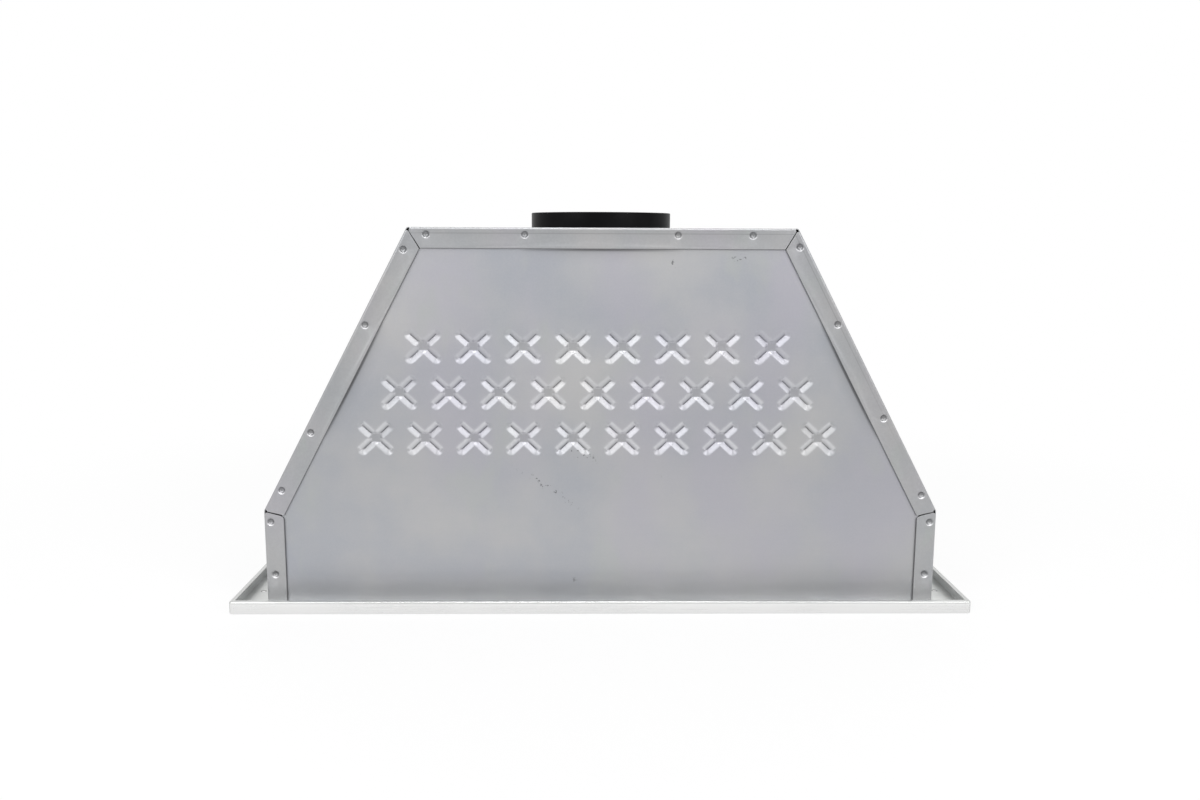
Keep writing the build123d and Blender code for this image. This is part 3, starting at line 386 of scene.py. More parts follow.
@dataclass(frozen=True)
class BrushedSteel:
    """Stainless sheet with fine grain along X and faint smears."""

    colour: Colour
    roughness: float = 0.3
    metallic: float = 0.9
    grain: float = 0.08
    fine: float = 420.0
    long: float = 6.0

    def shade(self, name: str) -> Material:
        """Builds the material under a name.

        Args:
            name: the material's name.

        Returns:
            The finished material.
        """
        made = Shader(name)
        grain = self.grained(made)
        smear = made.noise(made.place((1.0, 1.6, 1.6)), 9.0, 3.0)
        dark = tuple(0.93 * part for part in self.colour)
        base = made.mix(made.span(grain, 0.3, 0.75), solid(dark), solid(self.colour))
        base = made.mix(made.span(smear, 0.35, 0.75), base, solid(self.colour))
        rough = self.roughness + (grain - 0.5) * self.grain * 2 + (smear - 0.5) * 0.12
        base, rough = self.backed(made, base, rough)
        return made.surface({
            "Base Color": base, "Metallic": self.metallic, "Roughness": rough,
            "Normal": made.bump(grain, 0.00012, 0.3),
        })

    def lines(self, made: Shader, stretch: Sequence[float]) -> Socket:
        """Fine lines along the axis that is stretched least."""
        return made.noise(made.place(stretch), 3.0, 5.0, 0.65)

    def grained(self, made: Shader) -> Socket:
        """Fine grain along X."""
        return self.lines(made, (self.long, self.fine, self.fine))

    def backed(self, made: Shader, base: Socket, rough: Socket) -> tuple[Socket, Socket]:
        """Hook for a back with another finish; plain sheet has none."""
        return base, rough


@dataclass(frozen=True)
class TrayPan(BrushedSteel):
    """Stainless sheet of the tray: bright outside with painted shade on the upper part of the rim, dull mill
    finish inside the rim with painted shadow round the screw holes.
    """

    inside: Colour = (0.66, 0.67, 0.66)
    inside_pale: Colour = (0.76, 0.77, 0.76)
    inside_roughness: float = 0.42
    half_width: float = 0.3595
    half_depth: float = 0.1675
    low: float = 0.0006
    high: float = 0.0120
    hem: float = 0.0045
    # painted shade on the upper part of the rim
    lip: Colour = (0.62, 0.63, 0.62)
    lip_rise: Point = (0.0096, 0.0114)
    lip_share: float = 0.85
    # painted shadow round the screw holes in the floor
    holes: tuple[float, float, float] = (0.3455, 0.104, 0.0015)
    burr: Point = (0.0034, 0.0024)
    burr_dark: float = 0.85
    burr_colour: Colour = (0.1, 0.1, 0.1)

    def grained(self, made: Shader) -> Socket:
        """Fine grain along X, and along Y on the side rims.

        Args:
            made: the material in the making.

        Returns:
            The grain from 0 to 1.
        """
        x, _, z = made.axes(made.place())
        side = (abs(x) > self.half_width - self.hem) * (z > self.low)
        along, across = super().grained(made), self.lines(made, (self.fine, self.long, self.fine))
        return along + (across - along) * side

    def backed(self, made: Shader, base: Socket, rough: Socket) -> tuple[Socket, Socket]:
        """Mixes in the dull finish above the floor and inside the rim, painted shadow round the screw holes
        and painted shade on the upper part of the rim.

        Args:
            made: the material in the making.
            base: outside colour.
            rough: outside roughness.

        Returns:
            Colour and roughness of both sides.
        """
        place = made.place()
        x, y, z = made.axes(place)
        within = (abs(x) < self.half_width) * (abs(y) < self.half_depth) * (z > self.low) * (z < self.high)
        stain = made.noise(place, 34.0, 4.0, 0.6)
        dull = made.mix(made.span(stain, 0.35, 0.75), solid(self.inside), solid(self.inside_pale))
        # painted shadow round the screw holes
        folded = made.node("ShaderNodeVectorMath", {"operation": "ABSOLUTE"}, {0: place})
        near = made.span(made.measure("DISTANCE", folded, self.holes), *self.burr)
        dull = made.mix(near * self.burr_dark, dull, solid(self.burr_colour))
        # painted shade on the upper part of the rim
        base = made.mix(made.span(z, *self.lip_rise) * self.lip_share, base, solid(self.lip))
        return made.mix(within, base, dull), rough + within * (self.inside_roughness - self.roughness)


@dataclass(frozen=True)
class Moulding:
    """Moulded plastic or rubber with a fine pitted skin and worn, dusty patches."""

    colour: Colour
    roughness: float = 0.45
    pit: float = 0.00006
    pit_scale: float = 1400.0
    coat: float = 0.0
    gloss: float = 0.5
    dust: float = 0.012

    def shade(self, name: str) -> Material:
        """Builds the material under a name.

        Args:
            name: the material's name.

        Returns:
            The finished material.
        """
        made = Shader(name)
        place = made.place()
        pits = made.noise(place, self.pit_scale, 2.0)
        worn = made.noise(place, 26.0, 5.0, 0.6)
        pale = tuple(min(1.0, part * 1.4 + self.dust) for part in self.colour)
        base = made.mix(made.span(worn, 0.4, 0.8), solid(self.colour), solid(pale))
        rough = self.roughness + (worn - 0.5) * 0.22 + (pits - 0.5) * 0.08
        return made.surface({
            "Base Color": base, "Roughness": rough, "Coat Weight": self.coat,
            "Specular IOR Level": self.gloss,
            "Normal": made.bump(pits + worn * 0.6, self.pit, 0.6),
        })


@dataclass(frozen=True)
class PlainMetal:
    """Plated, cast or drawn metal with a mottled skin and dulled patches."""

    colour: Colour
    shadow: Colour
    roughness: float = 0.32
    metallic: float = 1.0
    mottle_scale: float = 90.0
    pit: float = 0.00008

    def shade(self, name: str) -> Material:
        """Builds the material under a name.

        Args:
            name: the material's name.

        Returns:
            The finished material.
        """
        made = Shader(name)
        place = made.place()
        mottle = made.noise(place, self.mottle_scale, 4.0, 0.6)
        fine = made.noise(place, self.mottle_scale * 14, 2.0)
        base = made.mix(made.span(mottle, 0.35, 0.7), solid(self.shadow), solid(self.colour))
        rough = self.roughness + (mottle - 0.5) * 0.2 + (fine - 0.5) * 0.08
        return made.surface({
            "Base Color": base, "Metallic": self.metallic, "Roughness": rough,
            "Normal": made.bump(mottle + fine * 0.4, self.pit, 0.5),
        })


@dataclass(frozen=True)
class WoundWire:
    """Enamelled copper wire laid in turns about the motor axis."""

    colour: Colour
    shadow: Colour
    turn_scale: float = 420.0

    def shade(self, name: str) -> Material:
        """Builds the material under a name.

        Args:
            name: the material's name.

        Returns:
            The finished material.
        """
        made = Shader(name)
        wave = {"Vector": made.place(), "Scale": self.turn_scale, "Distortion": 1.5, "Detail": 2.0}
        turns = made.node("ShaderNodeTexWave", {"bands_direction": "Y"}, wave, output="Fac")
        base = made.mix(turns, solid(self.shadow), solid(self.colour))
        return made.surface({
            "Base Color": base, "Metallic": 0.8, "Roughness": 0.5 - turns * 0.2,
            "Normal": made.bump(turns, 0.0003, 0.8),
        })


@dataclass(frozen=True)
class PrintedBoard:
    """Lacquered circuit board with fine tracks."""

    colour: Colour
    track: Colour
    cell_scale: float = 260.0

    def shade(self, name: str) -> Material:
        """Builds the material under a name.

        Args:
            name: the material's name.

        Returns:
            The finished material.
        """
        made = Shader(name)
        grid = {"Vector": made.place(), "Scale": self.cell_scale, "Randomness": 0.35}
        cells = made.node("ShaderNodeTexVoronoi", {"distance": "CHEBYCHEV"}, grid, output="Distance")
        lines = made.span(cells, 0.42, 0.5)
        base = made.mix(lines * 0.7, solid(self.colour), solid(self.track))
        return made.surface({
            "Base Color": base, "Roughness": 0.4 - lines * 0.12, "Coat Weight": 0.2,
            "Normal": made.bump(lines, 0.00006, 0.6),
        })


@dataclass(frozen=True)
class FrostedGlass:
    """Lamp glass, etched on the inside with fine rings and a soft milky body."""

    colour: Colour
    roughness: float = 0.38
    milky: Colour = (0.9, 0.91, 0.92)

    def shade(self, name: str) -> Material:
        """Builds the material under a name.

        Args:
            name: the material's name.

        Returns:
            The finished material.
        """
        made = Shader(name)
        frost = made.noise(made.place(), 900.0, 3.0)
        milk = made.noise(made.place(), 40.0, 2.0)
        base = made.mix(made.span(milk, 0.3, 0.7) * 0.5, solid(self.colour), solid(self.milky))
        return made.surface({
            "Base Color": base, "Roughness": self.roughness + (frost - 0.5) * 0.2,
            "Transmission Weight": 0.05, "IOR": 1.48,
            "Normal": made.bump(frost, 0.00005, 0.5),
        })


class Slot(Enum):
    """The record's material slots with the finish each one gets."""

    stainless = TrayPan((0.97, 0.97, 0.965), 0.28, 0.85)
    galvanised = ZincSheet(
        (0.542, 0.54, 0.542), (0.438, 0.456, 0.5), (0.495, 0.485, 0.543), (0.492, 0.512, 0.503), dulled=0.24
    )
    collar_plastic = Moulding((0.004, 0.004, 0.0043), 0.32, gloss=0.06, dust=0.002)
    flap_plastic = Moulding((0.03, 0.03, 0.032), 0.5)
    zinc_hardware = PlainMetal((0.62, 0.62, 0.6), (0.46, 0.46, 0.44), 0.3)
    wheel_metal = PlainMetal((0.62, 0.63, 0.64), (0.5, 0.51, 0.52), 0.36)
    motor_metal = PlainMetal((0.55, 0.56, 0.57), (0.42, 0.43, 0.44), 0.45)
    steel_dark = PlainMetal((0.2, 0.2, 0.2), (0.12, 0.12, 0.12), 0.5)
    copper = WoundWire((0.55, 0.26, 0.12), (0.3, 0.12, 0.05))
    rubber = Moulding((0.03, 0.03, 0.03), 0.7, 0.00012, 700.0)
    box_plastic = Moulding((0.7, 0.7, 0.68), 0.5)
    board = PrintedBoard((0.03, 0.16, 0.06), (0.09, 0.3, 0.12))
    terminal = Moulding((0.06, 0.2, 0.09), 0.45)
    capacitor = PlainMetal((0.7, 0.7, 0.71), (0.6, 0.6, 0.61), 0.3)
    gland_plastic = Moulding((0.04, 0.04, 0.042), 0.5)
    bezel_plastic = Moulding((0.025, 0.025, 0.027), 0.2, 0.00002, 1600.0, 0.5)
    button_metal = PlainMetal((0.74, 0.74, 0.74), (0.66, 0.66, 0.66), 0.24)
    lamp_metal = PlainMetal((0.7, 0.71, 0.72), (0.58, 0.59, 0.6), 0.3)
    lens = FrostedGlass((0.97, 0.97, 0.95))
    filter_steel = BrushedSteel((0.68, 0.68, 0.67), 0.3, 0.9)


WRAP_ZINC = FoldedZinc(
    (0.455, 0.45, 0.452), (0.405, 0.415, 0.43), (0.44, 0.43, 0.462), (0.422, 0.448, 0.435), cloud_scale=13.0
)


@cache
def finish(slot: Slot) -> Material:
    """The slot's material, made when first asked for."""
    return slot.value.shade(f"finish_{slot.name}")


def rounded_rectangle(width: float, depth: float, radius: float, centre: Point = (0.0, 0.0),
                      steps: int = 6) -> Loop:
    """Outline of a rectangle with round corners.

    Args:
        width: size across.
        depth: size along.
        radius: corner radius.
        centre: middle of the rectangle.
        steps: edges in each corner.

    Returns:
        Points in anticlockwise order.
    """
    loop = []
    for corner, (sx, sy) in enumerate(((1, 1), (-1, 1), (-1, -1), (1, -1))):
        mx, my = centre[0] + sx * (width / 2 - radius), centre[1] + sy * (depth / 2 - radius)
        for step in range(steps + 1):
            angle = math.radians(corner * 90.0 + 90.0 * step / steps)
            loop.append((mx + radius * math.cos(angle), my + radius * math.sin(angle)))
    return loop


def circle(radius: float, centre: Point, count: int) -> Loop:
    """Points of a circle in anticlockwise order."""
    angles = [2 * math.pi * i / count for i in range(count)]
    return [(centre[0] + radius * math.cos(a), centre[1] + radius * math.sin(a)) for a in angles]


def corner_arc(start: Point, end: Point, steps: int = 4) -> Loop:
    """Quarter round between two points of a profile, leaving start along the second coordinate last.

    Args:
        start: first point.
        end: last point.
        steps: edges in the arc.

    Returns:
        Points from start to end, bulging to the corner that shares end's first coordinate.
    """
    angles = [math.pi / 2 * i / steps for i in range(steps + 1)]
    return [
        (start[0] + (end[0] - start[0]) * math.sin(a), end[1] + (start[1] - end[1]) * math.cos(a))
        for a in angles
    ]


def inside(point: Point, loops: Sequence[Loop]) -> bool:
    """True where a point lies in an odd number of loops.

    Args:
        point: the point.
        loops: closed outlines.

    Returns:
        Whether it does.
    """
    odd = False
    x, y = point
    for loop in loops:
        for (x0, y0), (x1, y1) in zip(loop, loop[1:] + loop[:1]):
            if (y0 > y) != (y1 > y) and x < x0 + (y - y0) * (x1 - x0) / (y1 - y0):
                odd = not odd
    return odd


def read_off(table: Sequence[Point], at: float) -> float:
    """Value from a table of places and values, joined by straight lines.

    Args:
        table: places in rising order, each with its value.
        at: the place to read.

    Returns:
        The value there, 0 outside the table.
    """
    for (near, start), (far, end) in zip(table, table[1:]):
        if near <= at <= far:
            return start + (end - start) * (at - near) / (far - near)
    return 0.0


class Sheet:
    """A mesh in the making, with places given in millimetres."""

    def __init__(self) -> None:
        """Starts with no faces."""
        self.mesh = bmesh.new()

    def strip(self, first: Sequence[Vector], second: Sequence[Vector], closed: bool = False) -> None:
        """Joins two rows of points with quads.

        Args:
            first: one row.
            second: the other row, as long as the first.
            closed: joins the rows' ends too.
        """
        low = [self.mesh.verts.new(p * MM) for p in first]
        high = [self.mesh.verts.new(p * MM) for p in second]
        count = len(low)
        for i in range(count if closed else count - 1):
            j = (i + 1) % count
            self.mesh.faces.new((low[i], low[j], high[j], high[i]))

    def rows(self, rows: Sequence[Sequence[Vector]], closed: bool = False, ring: bool = False) -> None:
        """Joins each row to the next.

        Args:
            rows: rows of points of one length.
            closed: each row is a ring.
            ring: the last row joins the first.
        """
        pairs = list(zip(rows, rows[1:]))
        if ring:
            pairs.append((rows[-1], rows[0]))
        for first, second in pairs:
            self.strip(first, second, closed)

    def plate(self, loops: Sequence[Loop], place: Place, extra: Sequence[Point] = (),
              creases: Sequence[Loop] = ()) -> None:
        """Fills the area between loops with triangles.

        Args:
            loops: outer outline first, then holes.
            place: gives the point in space.
            extra: more points inside.
            creases: open rows of points that edges must follow.
        """
        points: Loop = []
        edges: list[tuple[int, int]] = []
        for loop in loops:
            start = len(points)
            points += loop
            edges += [(start + i, start + (i + 1) % len(loop)) for i in range(len(loop))]
        for crease in creases:
            start = len(points)
            points += crease
            edges += [(start + i, start + i + 1) for i in range(len(crease) - 1)]
        points += list(extra)
        made = delaunay_2d_cdt([Vector(p) for p in points], edges, [], 0, CLOSE)
        verts = [self.mesh.verts.new(place(*v) * MM) for v in made[0]]
        for face in made[2]:
            middle = sum((made[0][i] for i in face), Vector((0.0, 0.0))) / len(face)
            if inside(tuple(middle), loops):
                self.mesh.faces.new([verts[i] for i in face])

    def level(self, loops: Sequence[Loop], height: float) -> None:
        """Fills the area between level loops at a height."""
        self.plate(loops, lambda x, y: Vector((x, y, height)))

    def walls(self, levels: Sequence[tuple[Loop, float]], ring: bool = False) -> None:
        """Joins level outlines, each given with its height, from one to the next."""
        self.rows([[Vector((x, y, z)) for x, y in loop] for loop, z in levels], closed=True, ring=ring)

    def cap(self, *rows: Sequence[Vector]) -> None:
        """Closes open ends with one face for each row."""
        for row in rows:
            self.mesh.faces.new([self.mesh.verts.new(p * MM) for p in row])

    def bar(self, rows: Sequence[Sequence[Vector]]) -> None:
        """Folded bar between two like sections, with ends of quads from one skin to the other.

        Args:
            rows: the sections, each out along one skin and back along the other.
        """
        self.rows(rows, closed=True)
        for row in rows:
            verts = [self.mesh.verts.new(p * MM) for p in row]
            for i in range(len(row) // 2 - 1):
                self.mesh.faces.new((verts[i], verts[i + 1], verts[-2 - i], verts[-1 - i]))

    def rod(self, path: Sequence[Vector], radius: float, sides: int) -> None:
        """Round bar along a path with flat ends.

        Args:
            path: centre points.
            radius: bar radius.
            sides: points round the bar.
        """
        rings = []
        across = (path[1] - path[0]).orthogonal().normalized()
        for i, point in enumerate(path):
            ahead = path[min(i + 1, len(path) - 1)] - path[max(i - 1, 0)]
            across = (across - across.project(ahead)).normalized()
            other = ahead.normalized().cross(across)
            angles = [2 * math.pi * k / sides for k in range(sides)]
            rings.append([point + radius * (across * math.cos(a) + other * math.sin(a)) for a in angles])
        self.rows(rings, closed=True)
        self.cap(rings[0], rings[-1])

    def object(self, name: str, material: Material, outward: bool = True,
               angle: float = SHARP) -> Object:
        """Merges the rows and makes the object.

        Args:
            name: the object's name.
            material: its finish.
            outward: recalculates the normals of a closed mesh.
            angle: edges sharper than this stay sharp.

        Returns:
            The object, at the origin.
        """
        bmesh.ops.remove_doubles(self.mesh, verts=self.mesh.verts, dist=MERGE)
        if outward:
            bmesh.ops.recalc_face_normals(self.mesh, faces=self.mesh.faces)
        data = bpy.data.meshes.new(name)
        self.mesh.to_mesh(data)
        self.mesh.free()
        data.materials.append(material)
        made = bpy.data.objects.new(name, data)
        bpy.context.scene.collection.objects.link(made)
        soften(made, angle)
        return made


def soften(made: Object, angle: float) -> None:
    """Smooth shading with sharp edges above an angle in degrees."""
    made.data.polygons.foreach_set("use_smooth", [True] * len(made.data.polygons))
    made.data.set_sharp_from_angle(angle=math.radians(angle))


def settle(made: Object) -> None:
    """Turns a mesh with its modifiers into a plain mesh.

    Args:
        made: the object.
    """
    bpy.context.view_layer.update()
    graph = bpy.context.evaluated_depsgraph_get()
    data = bpy.data.meshes.new_from_object(made.evaluated_get(graph))
    old = made.data
    made.modifiers.clear()
    made.data = data
    data.name = old.name
    bpy.data.meshes.remove(old)


def turn_outward(sheet: Object, way: Vector) -> None:
    """Turns all faces of an open sheet to the outside.

    Args:
        sheet: the sheet.
        way: the direction that its outermost face looks in.
    """
    mesh = bmesh.new()
    mesh.from_mesh(sheet.data)
    bmesh.ops.recalc_face_normals(mesh, faces=mesh.faces)
    outermost = max(mesh.faces, key=lambda f: (round(f.calc_center_median().dot(way), 5), f.calc_area()))
    if outermost.normal.dot(way) < 0:
        bmesh.ops.reverse_faces(mesh, faces=mesh.faces)
    mesh.to_mesh(sheet.data)
    mesh.free()


def thicken(made: Object, thickness: float) -> None:
    """Gives a sheet its thickness, inwards from its normals, in millimetres.

    Args:
        made: the sheet.
        thickness: its thickness.
    """
    sheet = made.modifiers.new("thickness", "SOLIDIFY")
    sheet.thickness = thickness * MM
    sheet.offset = -1.0
    settle(made)


class GeometryTree:
    """A Geometry Nodes tree under construction."""

    def __init__(self, name: str) -> None:
        """Starts a tree with a geometry input and output.

        Args:
            name: the tree's name.
        """
        self.tree = bpy.data.node_groups.new(name, "GeometryNodeTree")
        self.tree.interface.new_socket("Geometry", in_out="INPUT", socket_type="NodeSocketGeometry")
        self.tree.interface.new_socket("Geometry", in_out="OUTPUT", socket_type="NodeSocketGeometry")
        self.start = self.tree.nodes.new("NodeGroupInput")
        self.end = self.tree.nodes.new("NodeGroupOutput")
        self.keys: dict[str, str] = {}

    def ask(self, **kinds: str) -> list[NodeSocket]:
        """Adds named inputs.

        Args:
            kinds: their names with their socket types, such as Float.

        Returns:
            The sockets to link from, in the same order.
        """
        sockets = []
        for name, kind in kinds.items():
            item = self.tree.interface.new_socket(name, in_out="INPUT", socket_type=f"NodeSocket{kind}")
            self.keys[name] = item.identifier
            sockets.append(next(s for s in self.start.outputs if s.identifier == item.identifier))
        return sockets

    def node(self, kind: str, settings: dict[str, Any], inputs: dict[Any, Any],
             output: Union[int, str] = 0) -> NodeSocket:
        """Adds one node.

        Args:
            kind: the node's type without its prefix.
            settings: its own settings, set first.
            inputs: values or links by socket name or number.
            output: the socket to hand back.

        Returns:
            The chosen output.
        """
        prefix = "ShaderNode" if kind in ("Math", "CombineXYZ") else "GeometryNode"
        node = self.tree.nodes.new(prefix + kind)
        for key, value in settings.items():
            setattr(node, key, value)
        for key, value in inputs.items():
            values = value if isinstance(value, list) else [value]
            for each in values:
                if isinstance(each, NodeSocket):
                    self.tree.links.new(each, node.inputs[key])
                else:
                    node.inputs[key].default_value = each
        return node.outputs[output]

    def math(self, operation: str, first: Any, second: Any) -> NodeSocket:
        """One Math node on two values or sockets."""
        return self.node("Math", {"operation": operation}, {0: first, 1: second})

    def shape(self, piece: NodeSocket) -> NodeSocket:
        """The mesh of an object input."""
        return self.node("ObjectInfo", {"transform_space": "ORIGINAL"}, {"Object": piece}, "Geometry")

    def copies(self, points: NodeSocket, pattern: NodeSocket,
               turn: Optional[NodeSocket] = None) -> NodeSocket:
        """Copies of one object on points.

        Args:
            points: where they stand.
            pattern: the object input.
            turn: rotation for each, if any.

        Returns:
            The realized copies.
        """
        inputs = {"Points": points, "Instance": self.shape(pattern)}
        if turn is not None:
            inputs["Rotation"] = turn
        placed = self.node("InstanceOnPoints", {}, inputs)
        return self.node("RealizeInstances", {}, {"Geometry": placed})

    def close(self, geometry: NodeSocket, material: NodeSocket) -> None:
        """Ends the tree: realizes, gives the material and links the output.

        Args:
            geometry: what the tree made.
            material: the material input.
        """
        plain = self.node("RealizeInstances", {}, {"Geometry": geometry})
        dressed = self.node("SetMaterial", {}, {"Geometry": plain, "Material": material})
        self.tree.links.new(dressed, self.end.inputs["Geometry"])

    def run(self, made: Object, values: dict[str, Any], angle: float = SHARP) -> None:
        """Applies the tree to an object and leaves a plain mesh.

        Args:
            made: the object whose mesh enters the tree.
            values: input values by name.
            angle: edges sharper than this stay sharp.
        """
        modifier = made.modifiers.new(self.tree.name, "NODES")
        modifier.node_group = self.tree
        for name, value in values.items():
            modifier[self.keys[name]] = value
        settle(made)
        soften(made, angle)


def shade_points(piece: Object, shade: Callable[[float, float], float]) -> None:
    """Notes on each point of an upright sheet its painted shade, from 1 for dark to -1 for a bright painted
    highlight.
    """
    note = piece.data.attributes.new(PAINTED_LIGHT, "FLOAT", "POINT")
    note.data.foreach_set("value", [shade(v.co.x / MM, v.co.z / MM) for v in piece.data.vertices])


def point_tree() -> GeometryTree:
    """Tree that joins copies of one shape, standing on the mesh's loose points, to a sheet.

    Returns:
        The tree.
    """
    made = GeometryTree("shapes_on_points")
    pattern, sheet, merge, material = made.ask(
        Pattern="Object", Sheet="Object", Merge="Float", Finish="Material"
    )
    points = made.node("MeshToPoints", {}, {"Mesh": made.start.outputs[0]})
    shapes = made.copies(points, pattern)
    joined = made.node("JoinGeometry", {}, {"Geometry": [shapes, made.shape(sheet)]})
    merged = made.node("MergeByDistance", {}, {"Geometry": joined, "Distance": merge})
    made.close(merged, material)
    return made


def row_tree() -> GeometryTree:
    """Tree that lays copies of one shape in a straight row.

    Returns:
        The tree.
    """
    made = GeometryTree("shapes_in_a_row")
    pattern, count, start, step, material = made.ask(
        Pattern="Object", Count="Int", Start="Vector", Step="Vector", Finish="Material"
    )
    spots = {"Count": count, "Start Location": start, "Offset": step}
    line = made.node("MeshLine", {"mode": "OFFSET"}, spots)
    row = made.copies(line, pattern)
    joined = made.node("JoinGeometry", {}, {"Geometry": [made.start.outputs[0], row]})
    made.close(joined, material)
    return made


def ring_tree() -> GeometryTree:
    """Tree that stands copies of one shape in a ring about the Y direction, turned with it.

    Returns:
        The tree.
    """
    made = GeometryTree("shapes_in_a_ring")
    pattern, count, centre, material = made.ask(
        Pattern="Object", Count="Int", Centre="Vector", Finish="Material"
    )
    line = made.node("MeshLine", {"mode": "OFFSET"}, {"Count": count, "Offset": (0.0, 0.0, 0.0)})
    index = made.node("InputIndex", {}, {})
    step = made.math("DIVIDE", math.tau, count)
    turn = made.node("CombineXYZ", {}, {1: made.math("MULTIPLY", index, step)})
    moved = made.node("SetPosition", {}, {"Geometry": line, "Position": centre})
    ring = made.copies(moved, pattern, turn)
    joined = made.node("JoinGeometry", {}, {"Geometry": [made.start.outputs[0], ring]})
    made.close(joined, material)
    return made


POINT_TREE, ROW_TREE, RING_TREE = point_tree(), row_tree(), ring_tree()


def loose_points(name: str, places: Sequence[Vector]) -> Object:
    """An object of loose points, in millimetres, that a tree fills with shapes.

    Args:
        name: the object's name.
        places: the points.

    Returns:
        The object.
    """
    data = bpy.data.meshes.new(name)
    data.from_pydata([p * MM for p in places], [], [])
    made = bpy.data.objects.new(name, data)
    bpy.context.scene.collection.objects.link(made)
    return made


def discard(*pieces: Object) -> None:
    """Removes shapes that were only copied from.

    Args:
        pieces: the shapes.
    """
    for piece in pieces:
        data = piece.data
        bpy.data.objects.remove(piece)
        bpy.data.meshes.remove(data)


def seat(made: Object, body: str, slot: Slot, *nodes: str) -> None:
    """Ties a finished piece to its body and hides the solids that it stands for.

    Args:
        made: the piece.
        body: the body that it moves with.
        slot: its material slot; not used.
        nodes: solids that it replaces.
    """
    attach(made, body)
    if nodes:
        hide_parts(*nodes)
    log.info("%s: %d faces on %s", made.name, len(made.data.polygons), body)


class Side(Enum):
    """Face of the casing, with its direction along Y."""

    FRONT = -1
    REAR = 1


class Edge(IntEnum):
    """Walls of the casing, each numbered as the corner that it starts at."""

    LEFT = 0
    LEFT_SLOPE = 1
    TOP = 2
    RIGHT_SLOPE = 3
    RIGHT = 4


@dataclass
class Casing:
    """Outline of the casing shared by the wrap and its panels, in millimetres."""

    width: float = 662.0
    depth: float = 278.0
    height: float = 370.0
    shoulder: float = 95.0
    top_width: float = 370.0
    floor: float = 1.0
    sheet: float = 0.8

    def corners(self) -> list[Point]:
        """Outline from the left foot over the top to the right foot.

        Returns:
            Points in X and Z.
        """
        half, top = self.width / 2, self.top_width / 2
        left = [(-half, self.floor), (-half, self.shoulder), (-top, self.height)]
        return left + [(-x, z) for x, z in reversed(left)]

    def turns(self) -> list[float]:
        """Angle turned at each corner, zero at the feet, in radians."""
        lean = math.atan2((self.width - self.top_width) / 2, self.height - self.shoulder)
        return [0.0, lean, math.pi / 2 - lean, math.pi / 2 - lean, lean, 0.0]

    def inset(self, amount: float) -> list[Point]:
        """Outline moved inwards by an amount, feet kept on the floor.

        Args:
            amount: how far.

        Returns:
            Points in X and Z.
        """
        moved = []
        corners, turns = self.corners(), self.turns()
        for i, (x, z) in enumerate(corners):
            if i in FEET:
                moved.append((x + (amount if x < 0 else -amount), z))
                continue
            before, after = corners[i - 1], corners[i + 1]
            first = Vector((x - before[0], z - before[1])).normalized()
            second = Vector((after[0] - x, after[1] - z)).normalized()
            inward = (Vector((first.y, -first.x)) + Vector((second.y, -second.x))).normalized()
            reach = amount / math.cos(turns[i] / 2)
            moved.append((x + inward.x * reach, z + inward.y * reach))
        return moved

    def along(self, corner: int, distance: float, depth: float) -> Point:
        """Point along the edge that starts at a corner, set inwards by a depth.

        Args:
            corner: number of the corner.
            distance: how far along the edge.
            depth: how far inside it.

        Returns:
            The point in X and Z.
        """
        (x0, z0), (x1, z1) = self.corners()[corner], self.corners()[corner + 1]
        way = Vector((x1 - x0, z1 - z0)).normalized()
        return (x0 + way.x * distance + way.y * depth, z0 + way.y * distance - way.x * depth)

    def length(self, corner: int) -> float:
        """Length of the edge that starts at a corner."""
        (x0, z0), (x1, z1) = self.corners()[corner], self.corners()[corner + 1]
        return math.hypot(x1 - x0, z1 - z0)


